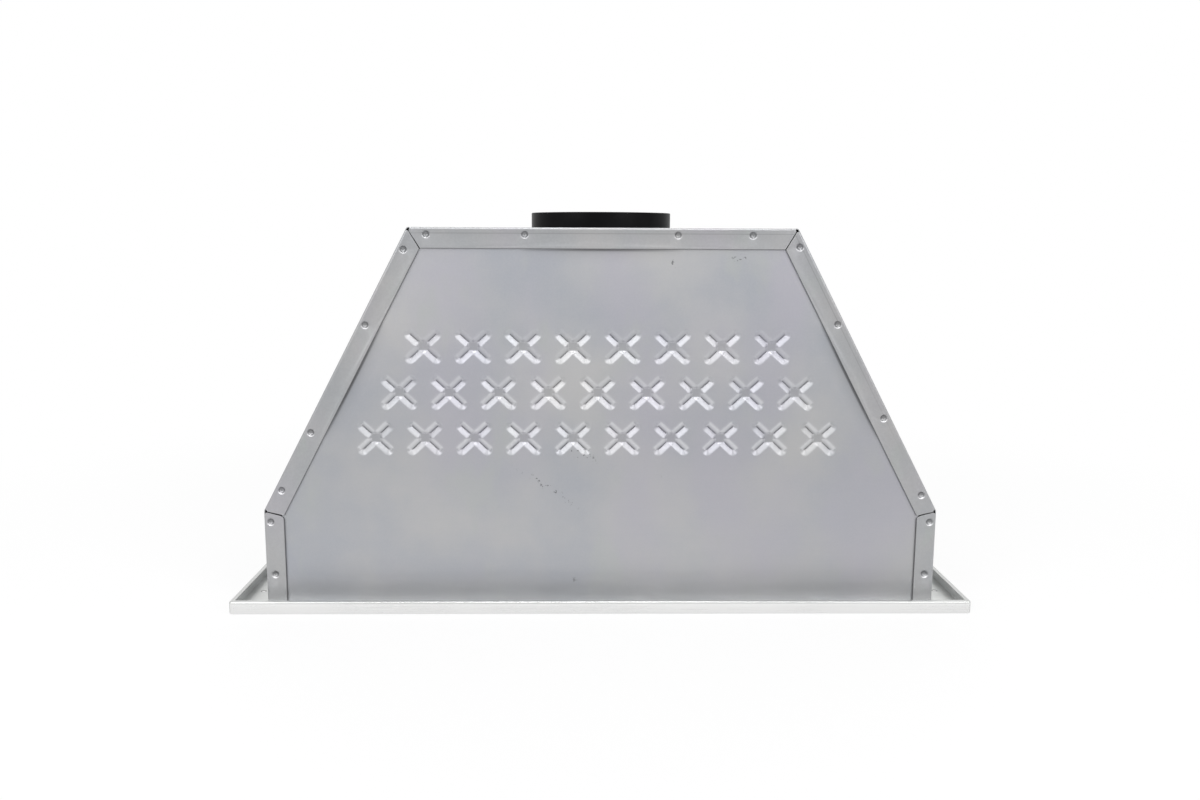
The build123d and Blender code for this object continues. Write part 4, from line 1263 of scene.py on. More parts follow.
@dataclass
class Clinch:
    """Round dimples that clinch the flanges to the panels, in millimetres."""

    inset: float = 6.5
    rim: float = 4.25
    sides: int = 24
    # Distances along each edge, the negative ones back from its end.
    spots: tuple[Row, ...] = (
        (29.5, -11.0), (27.0, 92.0, -20.0, -101.0), (18.0, 111.0, -43.0, -114.0),
        (16.0, 99.0, -22.0, -109.0), (11.0, -29.5),
    )
    foot: float = 29.5
    foot_shift: float = 2.3
    # painted shadow in the upper part of each pit and a painted highlight on its lower rim
    dirt: float = 0.5
    dirt_reach: float = 3.0
    dirt_level: float = 0.85
    rubbed: float = 1.0
    rubbed_level: float = 0.2
    rim_plain: float = 0.1
    profile: Curve = (
        (3.95, 0.06), (3.6, 0.25), (3.25, 0.7), (2.8, 1.35),
        (2.25, 1.95), (1.6, 2.4), (0.95, 2.65), (0.4, 2.72),
    )

    def places(self, casing: Casing) -> list[list[Point]]:
        """Centres on each of the five flanges, from the left foot to the right foot.

        Args:
            casing: the outline that they follow.

        Returns:
            Centres in X and Z, flange by flange.
        """
        found = []
        for edge, spots in enumerate(self.spots):
            row = []
            for spot in spots:
                along = spot if spot > 0 else casing.length(edge) + spot
                shift = self.foot_shift if abs(spot) == self.foot else 0.0
                row.append(casing.along(edge, along, self.inset + shift))
            found.append(row)
        return found

    def pattern(self, side: Side, material: Material) -> Object:
        """One dimple as a round patch, its middle pressed into the casing.

        Args:
            side: the face that it is pressed into.
            material: its finish.

        Returns:
            The patch.
        """
        made = Sheet()
        rings = []
        for radius, depth in ((self.rim, 0.0),) + self.profile:
            ring = circle(radius, (0.0, 0.0), self.sides)
            rings.append([Vector((x, -side.value * depth, z)) for x, z in ring])
        made.rows(rings, closed=True)
        made.cap(rings[-1])
        dimple = made.object(f"dimple_{side.name.lower()}", material, outward=False)
        shade_points(dimple, self.shade_at)
        return dimple

    def shade_at(self, x: float, z: float) -> float:
        """Painted shadow in the upper part of the pit and a painted highlight on its lower rim.

        Args:
            x: place across from the middle.
            z: height from the middle.

        Returns:
            The share for shade_points.
        """
        reach = math.hypot(x, z)
        if reach < self.dirt_reach:
            return self.dirt * min(max(self.dirt_level + z / self.dirt_reach, 0.0), 1.0)
        if reach < self.rim - self.rim_plain:
            return self.rubbed * min(z / reach + self.rubbed_level, 0.0)
        return 0.0


@dataclass
class Wrap:
    """Bent casing sheet with folded flanges, mitred and notched at the bends, in millimetres."""

    casing: Casing
    clinch: Clinch
    flange: float = 20.0
    bend: float = 2.5
    fold: float = 2.2
    seams: Row = (0.0, 1.3, 0.9, 0.8, 1.2, 0.0)
    notch: float = 2.0
    notch_depth: float = 1.25
    notch_steps: int = 5
    notch_clear: float = 0.05
    ease: float = 4.5
    ease_share: float = 0.8
    foot: float = 12.0
    foot_bend: float = 1.6
    collar_hole: float = 74.5
    collar_sides: int = 96
    steps: int = 6
    lift_from: float = 12.0
    lift_rows: Row = (12.0, 14.5, 17.0)
    lift: Row = (1.0, 0.6, 0.4, 0.6, 1.0)
    bow: Row = (0.0, 0.9, 0.5, 0.9, 0.0)
    bow_span: float = 117.0
    lift_step: float = 12.0
    lift_curve: float = 1.5

    def start(self, corner: int, depth: float) -> float:
        """Distance from a corner at which fold and flange start, at a depth from the edge.

        Args:
            corner: number of the corner.
            depth: distance inside the edge.

        Returns:
            The distance along the edge.
        """
        turn = self.casing.turns()[corner]
        if turn == 0.0:
            return 0.0
        mitre = depth * math.tan(turn / 2) + self.seams[corner] / 2 / math.cos(turn / 2)
        reach = self.notch ** 2 - (depth - self.notch_depth) ** 2
        dot = self.notch_depth * math.tan(turn / 2) + math.sqrt(max(reach, 0.0)) if reach > 0 else 0.0
        return max(mitre, dot)

    def tangent(self, corner: int) -> float:
        """Distance from a corner at which its bend starts."""
        return self.bend * math.tan(self.casing.turns()[corner] / 2)

    def build(self) -> None:
        """Makes the sheet, presses the dimples and gives it its thickness."""
        material = WRAP_ZINC.shade("finish_casing_zinc")
        made = Sheet()
        for edge in Edge:
            self.band(made, edge)
            for side in Side:
                self.flange_strip(made, edge, side)
        for corner in BENDS:
            self.bend_strip(made, corner)
        for end in FEET:
            self.foot_strip(made, end)
        sheet = made.object("casing_flat", material, outward=False)
        sheet = self.press(sheet, material)
        turn_outward(sheet, Vector((0.0, 0.0, 1.0)))
        thicken(sheet, self.casing.sheet)
        soften(sheet, SHARP)
        seat(sheet, "casing", Slot.galvanised, "casing_wrap")

    def band(self, made: Sheet, edge: Edge) -> None:
        """Plain wall of one edge between the front and rear folds; the top one has the collar hole.

        Args:
            made: the mesh in the making.
            edge: the wall.
        """
        half = self.casing.depth / 2 - self.fold
        length = self.casing.length(edge)
        stations = [
            self.tangent(edge), self.start(edge, 0.0),
            length - self.start(edge + 1, 0.0), length - self.tangent(edge + 1),
        ]
        if edge == Edge.TOP:
            end = self.casing.top_width / 2
            x0, x1 = -end + stations[0], end - self.tangent(edge + 1)
            inner = [s - end for s in stations[1:3]]
            front = [(x, -half) for x in (x0, *inner, x1)]
            outline = front + [(x, half) for x, _ in reversed(front)]
            hole = circle(self.collar_hole, (0.0, 0.0), self.collar_sides)
            made.level([outline, hole], self.casing.height)
            return
        raised = list(stations)
        if edge == Edge.LEFT:
            raised[0] = raised[1] = self.foot_bend
        if edge == Edge.RIGHT:
            raised[2] = raised[3] = stations[3] - self.foot_bend
        rows = []
        for y in (-half, -half + self.flange, half - self.flange, half):
            rows.append([self.at(edge, s, 0.0, y) for s in (raised if abs(y) < half else stations)])
        made.rows(rows)

    def at(self, edge: Edge, along: float, depth: float, y: float) -> Vector:
        """Point on an edge in space."""
        x, z = self.casing.along(edge, along, depth)
        return Vector((x, y, z))

    def flange_strip(self, made: Sheet, edge: Edge, side: Side) -> None:
        """Rounded fold and flat flange of one edge on one face, with holes for its dimples.

        Args:
            made: the mesh in the making.
            edge: the wall.
            side: the face of the casing.
        """
        face = side.value * self.casing.depth / 2
        length = self.casing.length(edge)
        rows = []
        for step in range(self.steps + 1):
            angle = math.pi / 2 * step / self.steps
            depth = self.fold * (1 - math.cos(angle))
            y = face - side.value * self.fold * (1 - math.sin(angle))
            ends = (self.start(edge, depth), length - self.start(edge + 1, depth))
            rows.append([self.at(edge, s, depth, y) for s in ends])
        made.rows(rows)
        turns = [math.pi / 2 * i / self.notch_steps for i in range(self.notch_steps + 1)]
        low = [self.notch_depth + self.notch * math.sin(turn) for turn in turns]
        depths = [self.fold] + [d for d in low if d > self.fold + self.notch_clear] + [self.flange]
        first = [(self.start(edge, d), d) for d in depths]
        last = [(length - self.start(edge + 1, d), d) for d in depths]
        outline = self.eased(first, last, edge)
        loops = [[self.casing.along(edge, s, d) for s, d in outline]]
        for place in self.clinch.places(self.casing)[edge]:
            loops.append(circle(self.clinch.rim, place, self.clinch.sides))
        margin = self.start(edge, self.flange), self.start(edge + 1, self.flange)
        count = int((length - sum(margin)) / self.lift_step)
        spots = [margin[0] + (length - sum(margin)) * i / count for i in range(1, count)]
        extra = [self.casing.along(edge, s, d) for s in spots for d in self.lift_rows]

        def place_on(x: float, z: float) -> Vector:
            """Point of the flange, lifted off the panel towards its free edge."""
            return Vector((x, face + side.value * self.raise_at(edge, x, z), z))

        made.plate(loops, place_on, extra)

    def raise_at(self, edge: Edge, x: float, z: float) -> float:
        """Gap by which a flange springs away from the panel at a point.

        Args:
            edge: the wall.
            x: place across.
            z: height.

        Returns:
            The gap.
        """
        x0, z0 = self.casing.corners()[edge]
        way = Vector(self.casing.along(edge, 1.0, 0.0)) - Vector((x0, z0))
        along = (x - x0) * way.x + (z - z0) * way.y
        depth = (x - x0) * way.y - (z - z0) * way.x
        share = max(depth - self.lift_from, 0.0) / (self.flange - self.lift_from)
        amount = self.lift[edge]
        spots = sorted(math.hypot(px - x0, pz - z0) for px, pz in self.clinch.places(self.casing)[edge])
        for low, high in zip(spots, spots[1:]):
            if low < along < high:
                swell = math.sin(math.pi * (along - low) / (high - low)) ** 2
                amount += self.bow[edge] * ((high - low) / self.bow_span) ** 2 * swell
        return amount * share ** self.lift_curve

    def eased(self, first: Loop, last: Loop, edge: Edge) -> Loop:
        """Flange outline with the inner corner rounded where an upright flange meets a slope.

        Args:
            first: distance and depth of the points at the edge's start.
            last: the same at its end.
            edge: the wall.

        Returns:
            The closed outline.
        """
        outline, tail = list(first), list(reversed(last))
        if edge == Edge.RIGHT:
            corner = outline.pop()
            outline += self.rounding(corner, 1)
        if edge == Edge.LEFT:
            outline += reversed(self.rounding(tail.pop(0), -1))
        return outline + tail

    def rounding(self, corner: Point, way: int) -> Loop:
        """Arc that rounds an inner corner of an upright flange.

        Args:
            corner: its distance and depth.
            way: 1 at the start of an edge, -1 at its end.

        Returns:
            Points of the arc.
        """
        s, d = corner
        points = []
        for step in range(self.steps + 1):
            angle = math.pi / 2 * step / self.steps
            along = s + way * self.ease * (1 - math.sin(angle)) * self.ease_share
            points.append((along, d - self.ease * (1 - math.cos(angle))))
        slant = math.tan(self.casing.turns()[1] / 2) * self.ease
        return [(p[0] - way * slant * (d - p[1]) / self.ease, p[1]) for p in reversed(points)]

    def bend_strip(self, made: Sheet, corner: int) -> None:
        """Rounded bend between two edges of the wall.

        Args:
            made: the mesh in the making.
            corner: number of the corner.
        """
        half = self.casing.depth / 2 - self.fold
        turn = self.casing.turns()[corner]
        reach = self.casing.length(corner - 1) - self.tangent(corner)
        start = Vector(self.casing.along(corner - 1, reach, 0.0))
        middle = Vector(self.casing.along(corner - 1, reach, self.bend))
        out = start - middle
        rows = []
        for step in range(self.steps + 1):
            angle = -turn * step / self.steps
            spin = Matrix.Rotation(angle, 2)
            x, z = middle + spin @ out
            rows.append([Vector((x, y, z)) for y in (-half, -half + self.flange, half - self.flange, half)])
        made.rows(rows)

    def foot_strip(self, made: Sheet, end: int) -> None:
        """Foot folded inwards at the bottom of a side wall.

        Args:
            made: the mesh in the making.
            end: number of the corner at the floor.
        """
        half = self.casing.depth / 2 - self.fold - self.flange
        x, z = self.casing.corners()[end]
        inward = 1 if x < 0 else -1
        profile = corner_arc((x + inward * self.foot_bend, z), (x, z + self.foot_bend))
        profile = [(x + inward * self.foot, z)] + profile
        made.rows([[Vector((px, y, pz)) for y in (-half, half)] for px, pz in profile])

    def press(self, sheet: Object, material: Material) -> Object:
        """Fills the round holes of both faces with dimples.

        Args:
            sheet: the sheet with the holes.
            material: its finish.

        Returns:
            The sheet with its dimples.
        """
        for side in Side:
            face = side.value * self.casing.depth / 2
            spots = [Vector((x, face, z)) for row in self.clinch.places(self.casing) for x, z in row]
            points = loose_points(f"casing_sheet_{side.name.lower()}", spots)
            pattern = self.clinch.pattern(side, material)
            POINT_TREE.run(points, {
                "Pattern": pattern, "Sheet": sheet, "Merge": PATCH_MERGE, "Finish": material,
            })
            discard(sheet, pattern)
            sheet = points
        sheet.name = "casing_sheet"
        return sheet


@dataclass
class Cross:
    """One cross-shaped pressing, in millimetres."""

    angle: float = 43.0
    length: float = 45.6
    width: float = 11.8
    floor: float = 0.3
    depth: float = 3.0
    middle: float = 8.0
    mouth: float = 15.0
    patch: float = 20.6
    edges: int = 8
    dish: float = 0.4
    crease: float = 0.35
    crease_half: float = 0.7
    blend: int = 6
    soft: float = 0.25
    grid: float = 1.05
    grid_half: int = 8
    spacing: float = 0.55
    margin: float = 0.6
    stations: int = 12
    valley_steps: int = 8
    end_steps: int = 10
    offsets: Row = (0.7, 1.8, 2.9, 4.0, 4.9, 5.5, 6.1, 7.2)
    # painted shade along the arms' valleys and in the middle, painted highlight on the arms' upper walls
    line_half: float = 0.2
    line_shade: float = 0.62
    middle_shade: float = 0.16
    middle_past: float = 0.1
    rubbed_past: float = 2.0
    rubbed: Curve = (
        (0.7, 0.0), (1.8, 0.3), (2.9, 0.48), (4.0, 0.52), (5.0, 0.42), (5.6, 0.2), (6.4, 0.0),
    )

    @property
    def core(self) -> float:
        """Half the straight length of an arm."""
        return self.length / 2 - self.width / 2

    def depth_at(self, x: float, z: float) -> float:
        """Depth of the pressing at a point from its centre.

        Args:
            x: place across from the middle.
            z: height from the middle.

        Returns:
            The depth.
        """
        soft = crease = 0.0
        half, box = self.width / 2, max(abs(x), abs(z))
        for turn in (self.angle, -self.angle):
            a = math.radians(turn)
            u = x * math.cos(a) + z * math.sin(a)
            v = -x * math.sin(a) + z * math.cos(a)
            reach = max(abs(u) - self.core, 0.0)
            off = math.hypot(reach, v)
            soft += self.slope((half - off) / (half - self.floor / 2)) ** self.blend
            if reach == 0.0 and box > self.middle / 2:
                crease = max(crease, self.crease * max(1.0 - off / self.crease_half, 0.0))
        soft += self.slope((self.mouth / 2 - box) / (self.mouth / 2 - self.middle / 2)) ** self.blend
        bowl = max(1.0 - (x * x + z * z) / self.patch ** 2, 0.0) ** 2
        return self.depth * min(1.0, soft ** (1 / self.blend)) + self.dish * bowl + crease

    def slope(self, share: float) -> float:
        """Ramp from 0 at the mouth to 1 at the floor, softened at its start.

        Args:
            share: the way from mouth to floor.

        Returns:
            The share of the depth.
        """
        share = min(max(share, 0.0), 1.0)
        if share < self.soft:
            return share * share * (3 - 2 * share)
        gap = self.soft - self.soft * self.soft * (3 - 2 * self.soft)
        return share - gap * (1 - share) / (1 - self.soft)

    def border(self) -> Loop:
        """Square outline of the patch with evenly spaced points.

        Returns:
            Points in anticlockwise order.
        """
        half = self.patch
        spots = [-half + 2 * half * i / self.edges for i in range(self.edges)]
        loop = [(s, -half) for s in spots] + [(half, s) for s in spots]
        return loop + [(-s, half) for s in spots] + [(-half, -s) for s in spots]

    def points(self) -> list[Point]:
        """Points along and across both arms, round their ends and over the middle.

        Returns:
            Points from the middle, no two in one place.
        """
        found: dict[tuple[int, int], Point] = {}
        grid = [i * self.grid for i in range(-self.grid_half, self.grid_half + 1)]
        for x in grid:
            for z in grid:
                found[round(x / self.spacing), round(z / self.spacing)] = (x, z)
        turns = [math.pi * k / self.end_steps - math.pi / 2 for k in range(self.end_steps + 1)]
        for turn in (self.angle, -self.angle):
            a = math.radians(turn)
            local: Loop = []
            for i in range(-self.stations, self.stations + 1):
                local += [(self.core * i / self.stations, sign * d) for d in self.offsets for sign in (-1, 1)]
            for end in (-1, 1):
                for d in self.offsets:
                    local += [(end * (self.core + d * math.cos(t)), d * math.sin(t)) for t in turns]
            for u, v in local:
                x = u * math.cos(a) - v * math.sin(a)
                z = u * math.sin(a) + v * math.cos(a)
                if max(abs(x), abs(z)) < self.patch - self.margin:
                    found.setdefault((round(x / self.spacing), round(z / self.spacing)), (x, z))
        return list(found.values())

    def valleys(self) -> list[Loop]:
        """Lines along the bottom of the four arms, from the middle to the round ends.

        Returns:
            One row of points for each arm.
        """
        lines = []
        for turn in (self.angle, 180 - self.angle, 180 + self.angle, -self.angle):
            a = math.radians(turn)
            near = self.middle / 2 / max(abs(math.cos(a)), abs(math.sin(a)))
            steps = range(self.valley_steps + 1)
            reach = [near + (self.core - near) * i / self.valley_steps for i in steps]
            lines.append([(r * math.cos(a), r * math.sin(a)) for r in reach])
        return lines

    def pattern(self, side: Side, material: Material) -> Object:
        """The pressing as a square patch, pressed into the casing.

        Args:
            side: the face that it is pressed into.
            material: its finish.

        Returns:
            The patch.
        """
        made = Sheet()
        made.plate(
            [self.border()],
            lambda x, z: Vector((x, -side.value * self.depth_at(x, z), z)),
            self.points(),
            self.valleys(),
        )
        pressing = made.object(f"pressing_{side.name.lower()}", material, outward=False)
        shade_points(pressing, self.shade_at)
        return pressing

    def shade_at(self, x: float, z: float) -> float:
        """Painted shade along the bottom of the arms and in the middle, painted highlight on their upper
        walls.

        Args:
            x: place across from the middle.
            z: height from the middle.

        Returns:
            The share for shade_points.
        """
        if max(abs(x), abs(z)) <= self.middle / 2 + self.middle_past:
            return self.middle_shade
        places = []
        for turn in (self.angle, -self.angle):
            a = math.radians(turn)
            u, v = x * math.cos(a) + z * math.sin(a), -x * math.sin(a) + z * math.cos(a)
            places.append((math.hypot(max(abs(u) - self.core, 0.0), v), abs(u), v))
        off, along, across = min(places)
        if off < self.line_half:
            return self.line_shade
        if across < 0.0 or along > self.core + self.rubbed_past:
            return 0.0
        return -read_off(self.rubbed, off)


@dataclass
class Panel:
    """Front or rear panel with rows of cross-shaped pressings, in millimetres."""

    side: Side
    casing: Casing
    clinch: Clinch
    cross: Cross
    counts: tuple[int, ...] = (10, 9, 8)
    pitch: float = 47.9
    row_pitch: float = 44.8
    first_row: float = 167.5
    shift: float = -4.5
    gap: float = 0.3
    clips: Row = (71.0, 43.3)
    foot: float = 10.0
    foot_bend: float = 1.2
    foot_gap: float = 14.0
    sharp: float = 40.0
    dimple_hole: float = 4.05
    dimple_sides: int = 16
    gland: Point = (222.0, 82.0)
    gland_hole: float = 8.2
    gland_sides: int = 32
    # painted shadow beside the flanges of the slopes and the top
    seam_spans: Curve = ((92.0, 222.0), (105.0, 262.0))
    seam_shares: Row = (1.0, 0.9)
    seam_steps: int = 22
    seam_swell: float = 0.7
    seam_dirt: Curve = (
        (0.0, 0.9), (16.0, 0.9), (21.4, 0.85), (22.5, 0.26), (25.0, 0.13), (29.0, 0.05), (34.0, 0.0),
    )

    def centres(self) -> list[Point]:
        """Centres of all pressings in X and Z.

        Returns:
            Points, row by row from below.
        """
        spots = []
        for row, count in enumerate(self.counts):
            for i in range(count):
                x = self.shift + (i - (count - 1) / 2) * self.pitch
                spots.append((x, self.first_row + row * self.row_pitch))
        return spots

    def outline(self) -> Loop:
        """Panel outline with clipped corners at the bends.

        Returns:
            Points in X and Z, the foot last.
        """
        corners = self.casing.inset(self.casing.sheet + self.gap)
        low, end = self.casing.floor + self.foot_bend, corners[FEET[1]][0]
        loop = [(corners[0][0], low)]
        for i in BENDS:
            here = Vector(corners[i])
            clip = self.clips[0 if i in (1, 4) else 1]
            for other in (corners[i - 1], corners[i + 1]):
                loop.append(tuple(here + (Vector(other) - here).normalized() * clip))
        half = end - self.foot_gap
        return loop + [(end, low), (half, low), (-half, low)]

    def build(self) -> None:
        """Makes the flat sheet, sets the pressings into it and gives it its thickness."""
        material = finish(Slot.galvanised)
        face = self.side.value * (self.casing.depth / 2 - self.casing.sheet)
        made = Sheet()
        loops = [self.outline()]
        for x, z in self.centres():
            loops.append([(x + px, z + pz) for px, pz in self.cross.border()])
        spots = [place for row in self.clinch.places(self.casing) for place in row]
        spots = [place for place in spots if inside(place, loops[:1])]
        loops += [circle(self.dimple_hole, place, self.dimple_sides) for place in spots]
        if self.side is Side.REAR:
            loops.append(circle(self.gland_hole, self.gland, self.gland_sides))
        made.plate(loops, lambda x, z: Vector((x, face, z)), self.seam_points())
        self.foot_strip(made, face)
        side = self.side.name.lower()
        flat = made.object(f"{side}_pressed_panel_flat", material, outward=False)
        # painted shadow beside the flanges
        shade_points(flat, self.seam_shade)
        centres = [Vector((x, face, z)) for x, z in self.centres()]
        points = loose_points(f"{side}_pressed_panel", centres)
        pattern = self.cross.pattern(self.side, material)
        POINT_TREE.run(points, {
            "Pattern": pattern, "Sheet": flat, "Merge": PATCH_MERGE, "Finish": material,
        })
        discard(flat, pattern)
        turn_outward(points, Vector((0.0, self.side.value, 0.0)))
        thicken(points, self.casing.sheet)
        soften(points, self.sharp)
        seat(points, "casing", Slot.galvanised, f"{side}_panel")

    def seam_shade(self, x: float, z: float) -> float:
        """Painted shadow beside the flanges, along the slack middle of the slopes and the top.

        Args:
            x: place across.
            z: height.

        Returns:
            How much darker the sheet is there.
        """
        total = 0.0
        for edge, across in ((Edge.LEFT_SLOPE, -abs(x)), (Edge.TOP, x)):
            first, second = (Vector(spot) for spot in self.casing.corners()[edge:edge + 2])
            run = (second - first).normalized()
            here = Vector((across, z)) - first
            along, off = here.dot(run), here.dot(Vector((run.y, -run.x)))
            low, high = self.seam_spans[edge - 1]
            if low < along < high and 0.0 < off < self.seam_dirt[-1][0]:
                swell = math.sin(math.pi * (along - low) / (high - low)) ** self.seam_swell
                total = max(total, self.seam_shares[edge - 1] * swell * read_off(self.seam_dirt, off))
        return total

    def seam_points(self) -> Loop:
        """Points beside the flanges of the slopes and the top, where the painted shadow changes.

        Returns:
            Points in X and Z.
        """
        points = []
        for edge, (low, high) in zip((Edge.LEFT_SLOPE, Edge.TOP), self.seam_spans):
            for i in range(self.seam_steps + 1):
                for off, _ in self.seam_dirt[1:]:
                    x, z = self.casing.along(edge, low + (high - low) * i / self.seam_steps, off)
                    points += [(x, z)] if edge == Edge.TOP else [(x, z), (-x, z)]
        return points

    def foot_strip(self, made: Sheet, face: float) -> None:
        """Foot folded inwards under the panel.

        Args:
            made: the mesh in the making.
            face: where the sheet stands in Y.
        """
        inward = -self.side.value
        low = self.casing.floor
        half = self.outline()[-2][0]
        profile = corner_arc((face + inward * self.foot_bend, low), (face, low + self.foot_bend))
        profile = [(face + inward * self.foot, low)] + profile
        made.rows([[Vector((x, y, z)) for x in (-half, half)] for y, z in profile])


@dataclass
class Tray:
    """Stainless pan with a hemmed rim and the upturned walls of the filter well, in millimetres."""

    width: float = 720.0
    depth: float = 336.0
    sheet: float = 1.0
    rim: float = 12.5
    lip: float = 5.0
    corner: float = 3.0
    inner_corner: float = 1.0
    edge: float = 1.6
    floor_inset: float = 7.0
    well_width: float = 624.0
    well_front: float = -74.0
    well_rear: float = 122.0
    well_height: float = 40.0
    well_corner: float = 2.5
    corner_steps: int = 4
    well_bend: float = 2.4
    well_ease: float = 0.3
    strip_y: float = -102.0
    slot_width: float = 148.0
    slot_depth: float = 24.0
    slot_corner: float = 1.0
    lamp_x: float = 260.0
    lamp_radius: float = 23.0
    lamp_sides: int = 64
    mount_x: float = 345.5
    mount_y: float = 104.0
    mount_radius: float = 2.25
    mount_sides: int = 20
    rivets: Curve = ((325.0, 70.0), (150.0, 133.2), (290.0, 133.2))
    rivet_hole: float = 2.45
    rivet_sides: int = 24
    rivet: Curve = (
        (0.4, 0.75), (0.95, 0.7), (1.05, 0.25), (1.35, 0.04), (2.1, 0.0), (2.4, 0.15), (2.4, 1.8), (3.8, 1.8),
        (3.8, 2.0), (3.55, 2.45), (2.9, 2.85), (2.0, 3.0), (1.2, 3.0), (1.0, 2.7), (0.4, 2.65),
    )
    steps: int = 5
    hem_steps: int = 6

    def rim_profile(self) -> Loop:
        """Section of the rim as inset and height, from the floor's underside round to its top.

        Returns:
            Insets and heights.
        """
        top, edge, sheet, hem = self.rim, self.edge, self.sheet, self.sheet / 2
        points = [(self.floor_inset, 0.0)]
        points += corner_arc((edge, 0.0), (0.0, edge), self.steps)
        points += [(d, z) for z, d in corner_arc((top - edge, 0.0), (top, edge), self.steps)]
        for i in range(1, self.hem_steps):
            angle = math.pi / 2 - math.pi * i / self.hem_steps
            points.append((self.lip - hem + hem * math.cos(angle), top - hem + hem * math.sin(angle)))
        points.append((self.lip - hem, top - sheet))
        points += corner_arc((edge, top - sheet), (sheet, top - edge), self.steps)
        points += [(d, z) for z, d in corner_arc((edge, sheet), (sheet, edge), self.steps)]
        return points + [(self.floor_inset, sheet)]

    def well_profile(self) -> Loop:
        """Section of the well wall as outset and height, from the floor's underside to its top side.

        Returns:
            Outsets and heights.
        """
        bend, top, ease = self.well_bend, self.well_height, self.well_ease
        points = corner_arc((bend, 0.0), (0.0, bend), self.steps)
        points += [(0.0, top - ease), (ease, top), (self.sheet - ease, top), (self.sheet, top - ease)]
        return points + [(d, z) for z, d in corner_arc((bend, self.sheet), (self.sheet, bend), self.steps)]

    def loop(self, inset: float) -> Loop:
        """Tray outline moved inwards."""
        radius = max(self.corner - inset, self.inner_corner)
        return rounded_rectangle(self.width - 2 * inset, self.depth - 2 * inset, radius)

    @property
    def well_centre(self) -> Point:
        """Middle of the well."""
        return 0.0, (self.well_front + self.well_rear) / 2

    def well(self, outset: float) -> Loop:
        """Well outline moved outwards.

        Args:
            outset: how far.

        Returns:
            The closed outline.
        """
        width, depth = self.well_width + 2 * outset, self.well_rear - self.well_front + 2 * outset
        radius = self.well_corner + outset
        return rounded_rectangle(width, depth, radius, self.well_centre, self.corner_steps)

    def holes(self) -> list[Loop]:
        """Slot, lamp, screw and rivet holes in the floor.

        Returns:
            Closed outlines.
        """
        slot = (self.slot_width, self.slot_depth, self.slot_corner)
        loops = [rounded_rectangle(*slot, (0.0, self.strip_y), 3)]
        for side in (-1, 1):
            loops.append(circle(self.lamp_radius, (side * self.lamp_x, self.strip_y), self.lamp_sides))
            for end in (-1, 1):
                place = (side * self.mount_x, end * self.mount_y)
                loops.append(circle(self.mount_radius, place, self.mount_sides))
        return loops + [circle(self.rivet_hole, spot, self.rivet_sides) for spot in self.rivet_places()]

    def rivet_places(self) -> Loop:
        """Centres of the rivets that hold the casing's feet."""
        return [(sx * x, sy * y) for x, y in self.rivets for sx, sy in QUARTERS]

    def rivet_piece(self) -> None:
        """Hollow rivets through the floor and the feet, with domed heads inside the casing."""
        material = finish(Slot.zinc_hardware)
        pattern = turned(self.rivet, (0.0, 0.0), self.rivet_sides).object("rivet", material)
        base = loose_points("rivet_base", [])
        rivets = loose_points("foot_rivet_set", [Vector((x, y, 0.0)) for x, y in self.rivet_places()])
        POINT_TREE.run(rivets, {"Pattern": pattern, "Sheet": base, "Merge": 0.0, "Finish": material})
        discard(pattern, base)
        seat(rivets, "casing", Slot.zinc_hardware, "foot_rivets")

    def build(self) -> None:
        """Makes the closed pan and its rivets."""
        made = Sheet()
        made.walls([(self.loop(d), z) for d, z in self.rim_profile()])
        made.walls([(self.well(d), z) for d, z in self.well_profile()])
        holes = self.holes()
        for level in (0.0, self.sheet):
            made.level([self.loop(self.floor_inset), self.well(self.well_bend)] + holes, level)
        for hole in holes:
            made.walls([(hole, 0.0), (hole, self.sheet)])
        tray = made.object("tray_pan", finish(Slot.stainless))
        seat(tray, "casing", Slot.stainless, "tray")
        self.rivet_piece()


@dataclass
class Collar:
    """Moulded duct collar: square plate under the casing top and a round spigot with rolled edges."""

    radius: float = 74.0
    inner: float = 71.0
    ledge: float = 67.0
    top: float = 386.0
    ledge_top: float = 371.0
    plate_top: float = 369.2
    plate_bottom: float = 366.2
    plate: float = 168.0
    plate_corner: float = 10.0
    edge: float = 0.9
    sides: int = 128
    casing_top: float = 370.0
    neck_cut: float = 1.2
    neck_rise: float = 0.2
    screws: Point = (74.0, 59.0)
    screw_hole: float = 2.15
    screw_sides: int = 16

    def build(self) -> None:
        """Makes the closed moulding."""
        made = Sheet()
        edge, top, radius = self.edge, self.top, self.radius
        neck, neck_top = radius - self.neck_cut, self.casing_top + self.neck_rise
        profile = [(neck, self.plate_top), (neck, neck_top), (radius, neck_top)]
        profile += [(r, z) for z, r in corner_arc((top - edge, radius), (top, radius - edge))]
        profile += corner_arc((self.inner + edge, top), (self.inner, top - edge))
        profile += [(self.inner, self.ledge_top), (self.ledge, self.ledge_top)]
        profile += [(self.ledge, self.plate_bottom)]
        made.walls([(circle(r, (0.0, 0.0), self.sides), z) for r, z in profile])
        outer = rounded_rectangle(self.plate, self.plate, self.plate_corner)
        spots = [(sx * self.screws[0], sy * self.screws[1]) for sx, sy in QUARTERS]
        holes = [circle(self.screw_hole, spot, self.screw_sides) for spot in spots]
        for level, opening in ((self.plate_top, neck), (self.plate_bottom, self.ledge)):
            made.level([outer, circle(opening, (0.0, 0.0), self.sides)] + holes, level)
        for loop in [outer] + holes:
            made.walls([(loop, self.plate_bottom), (loop, self.plate_top)])
        collar = made.object("collar_moulding", finish(Slot.collar_plastic))
        seat(collar, "casing", Slot.collar_plastic, "duct_collar")


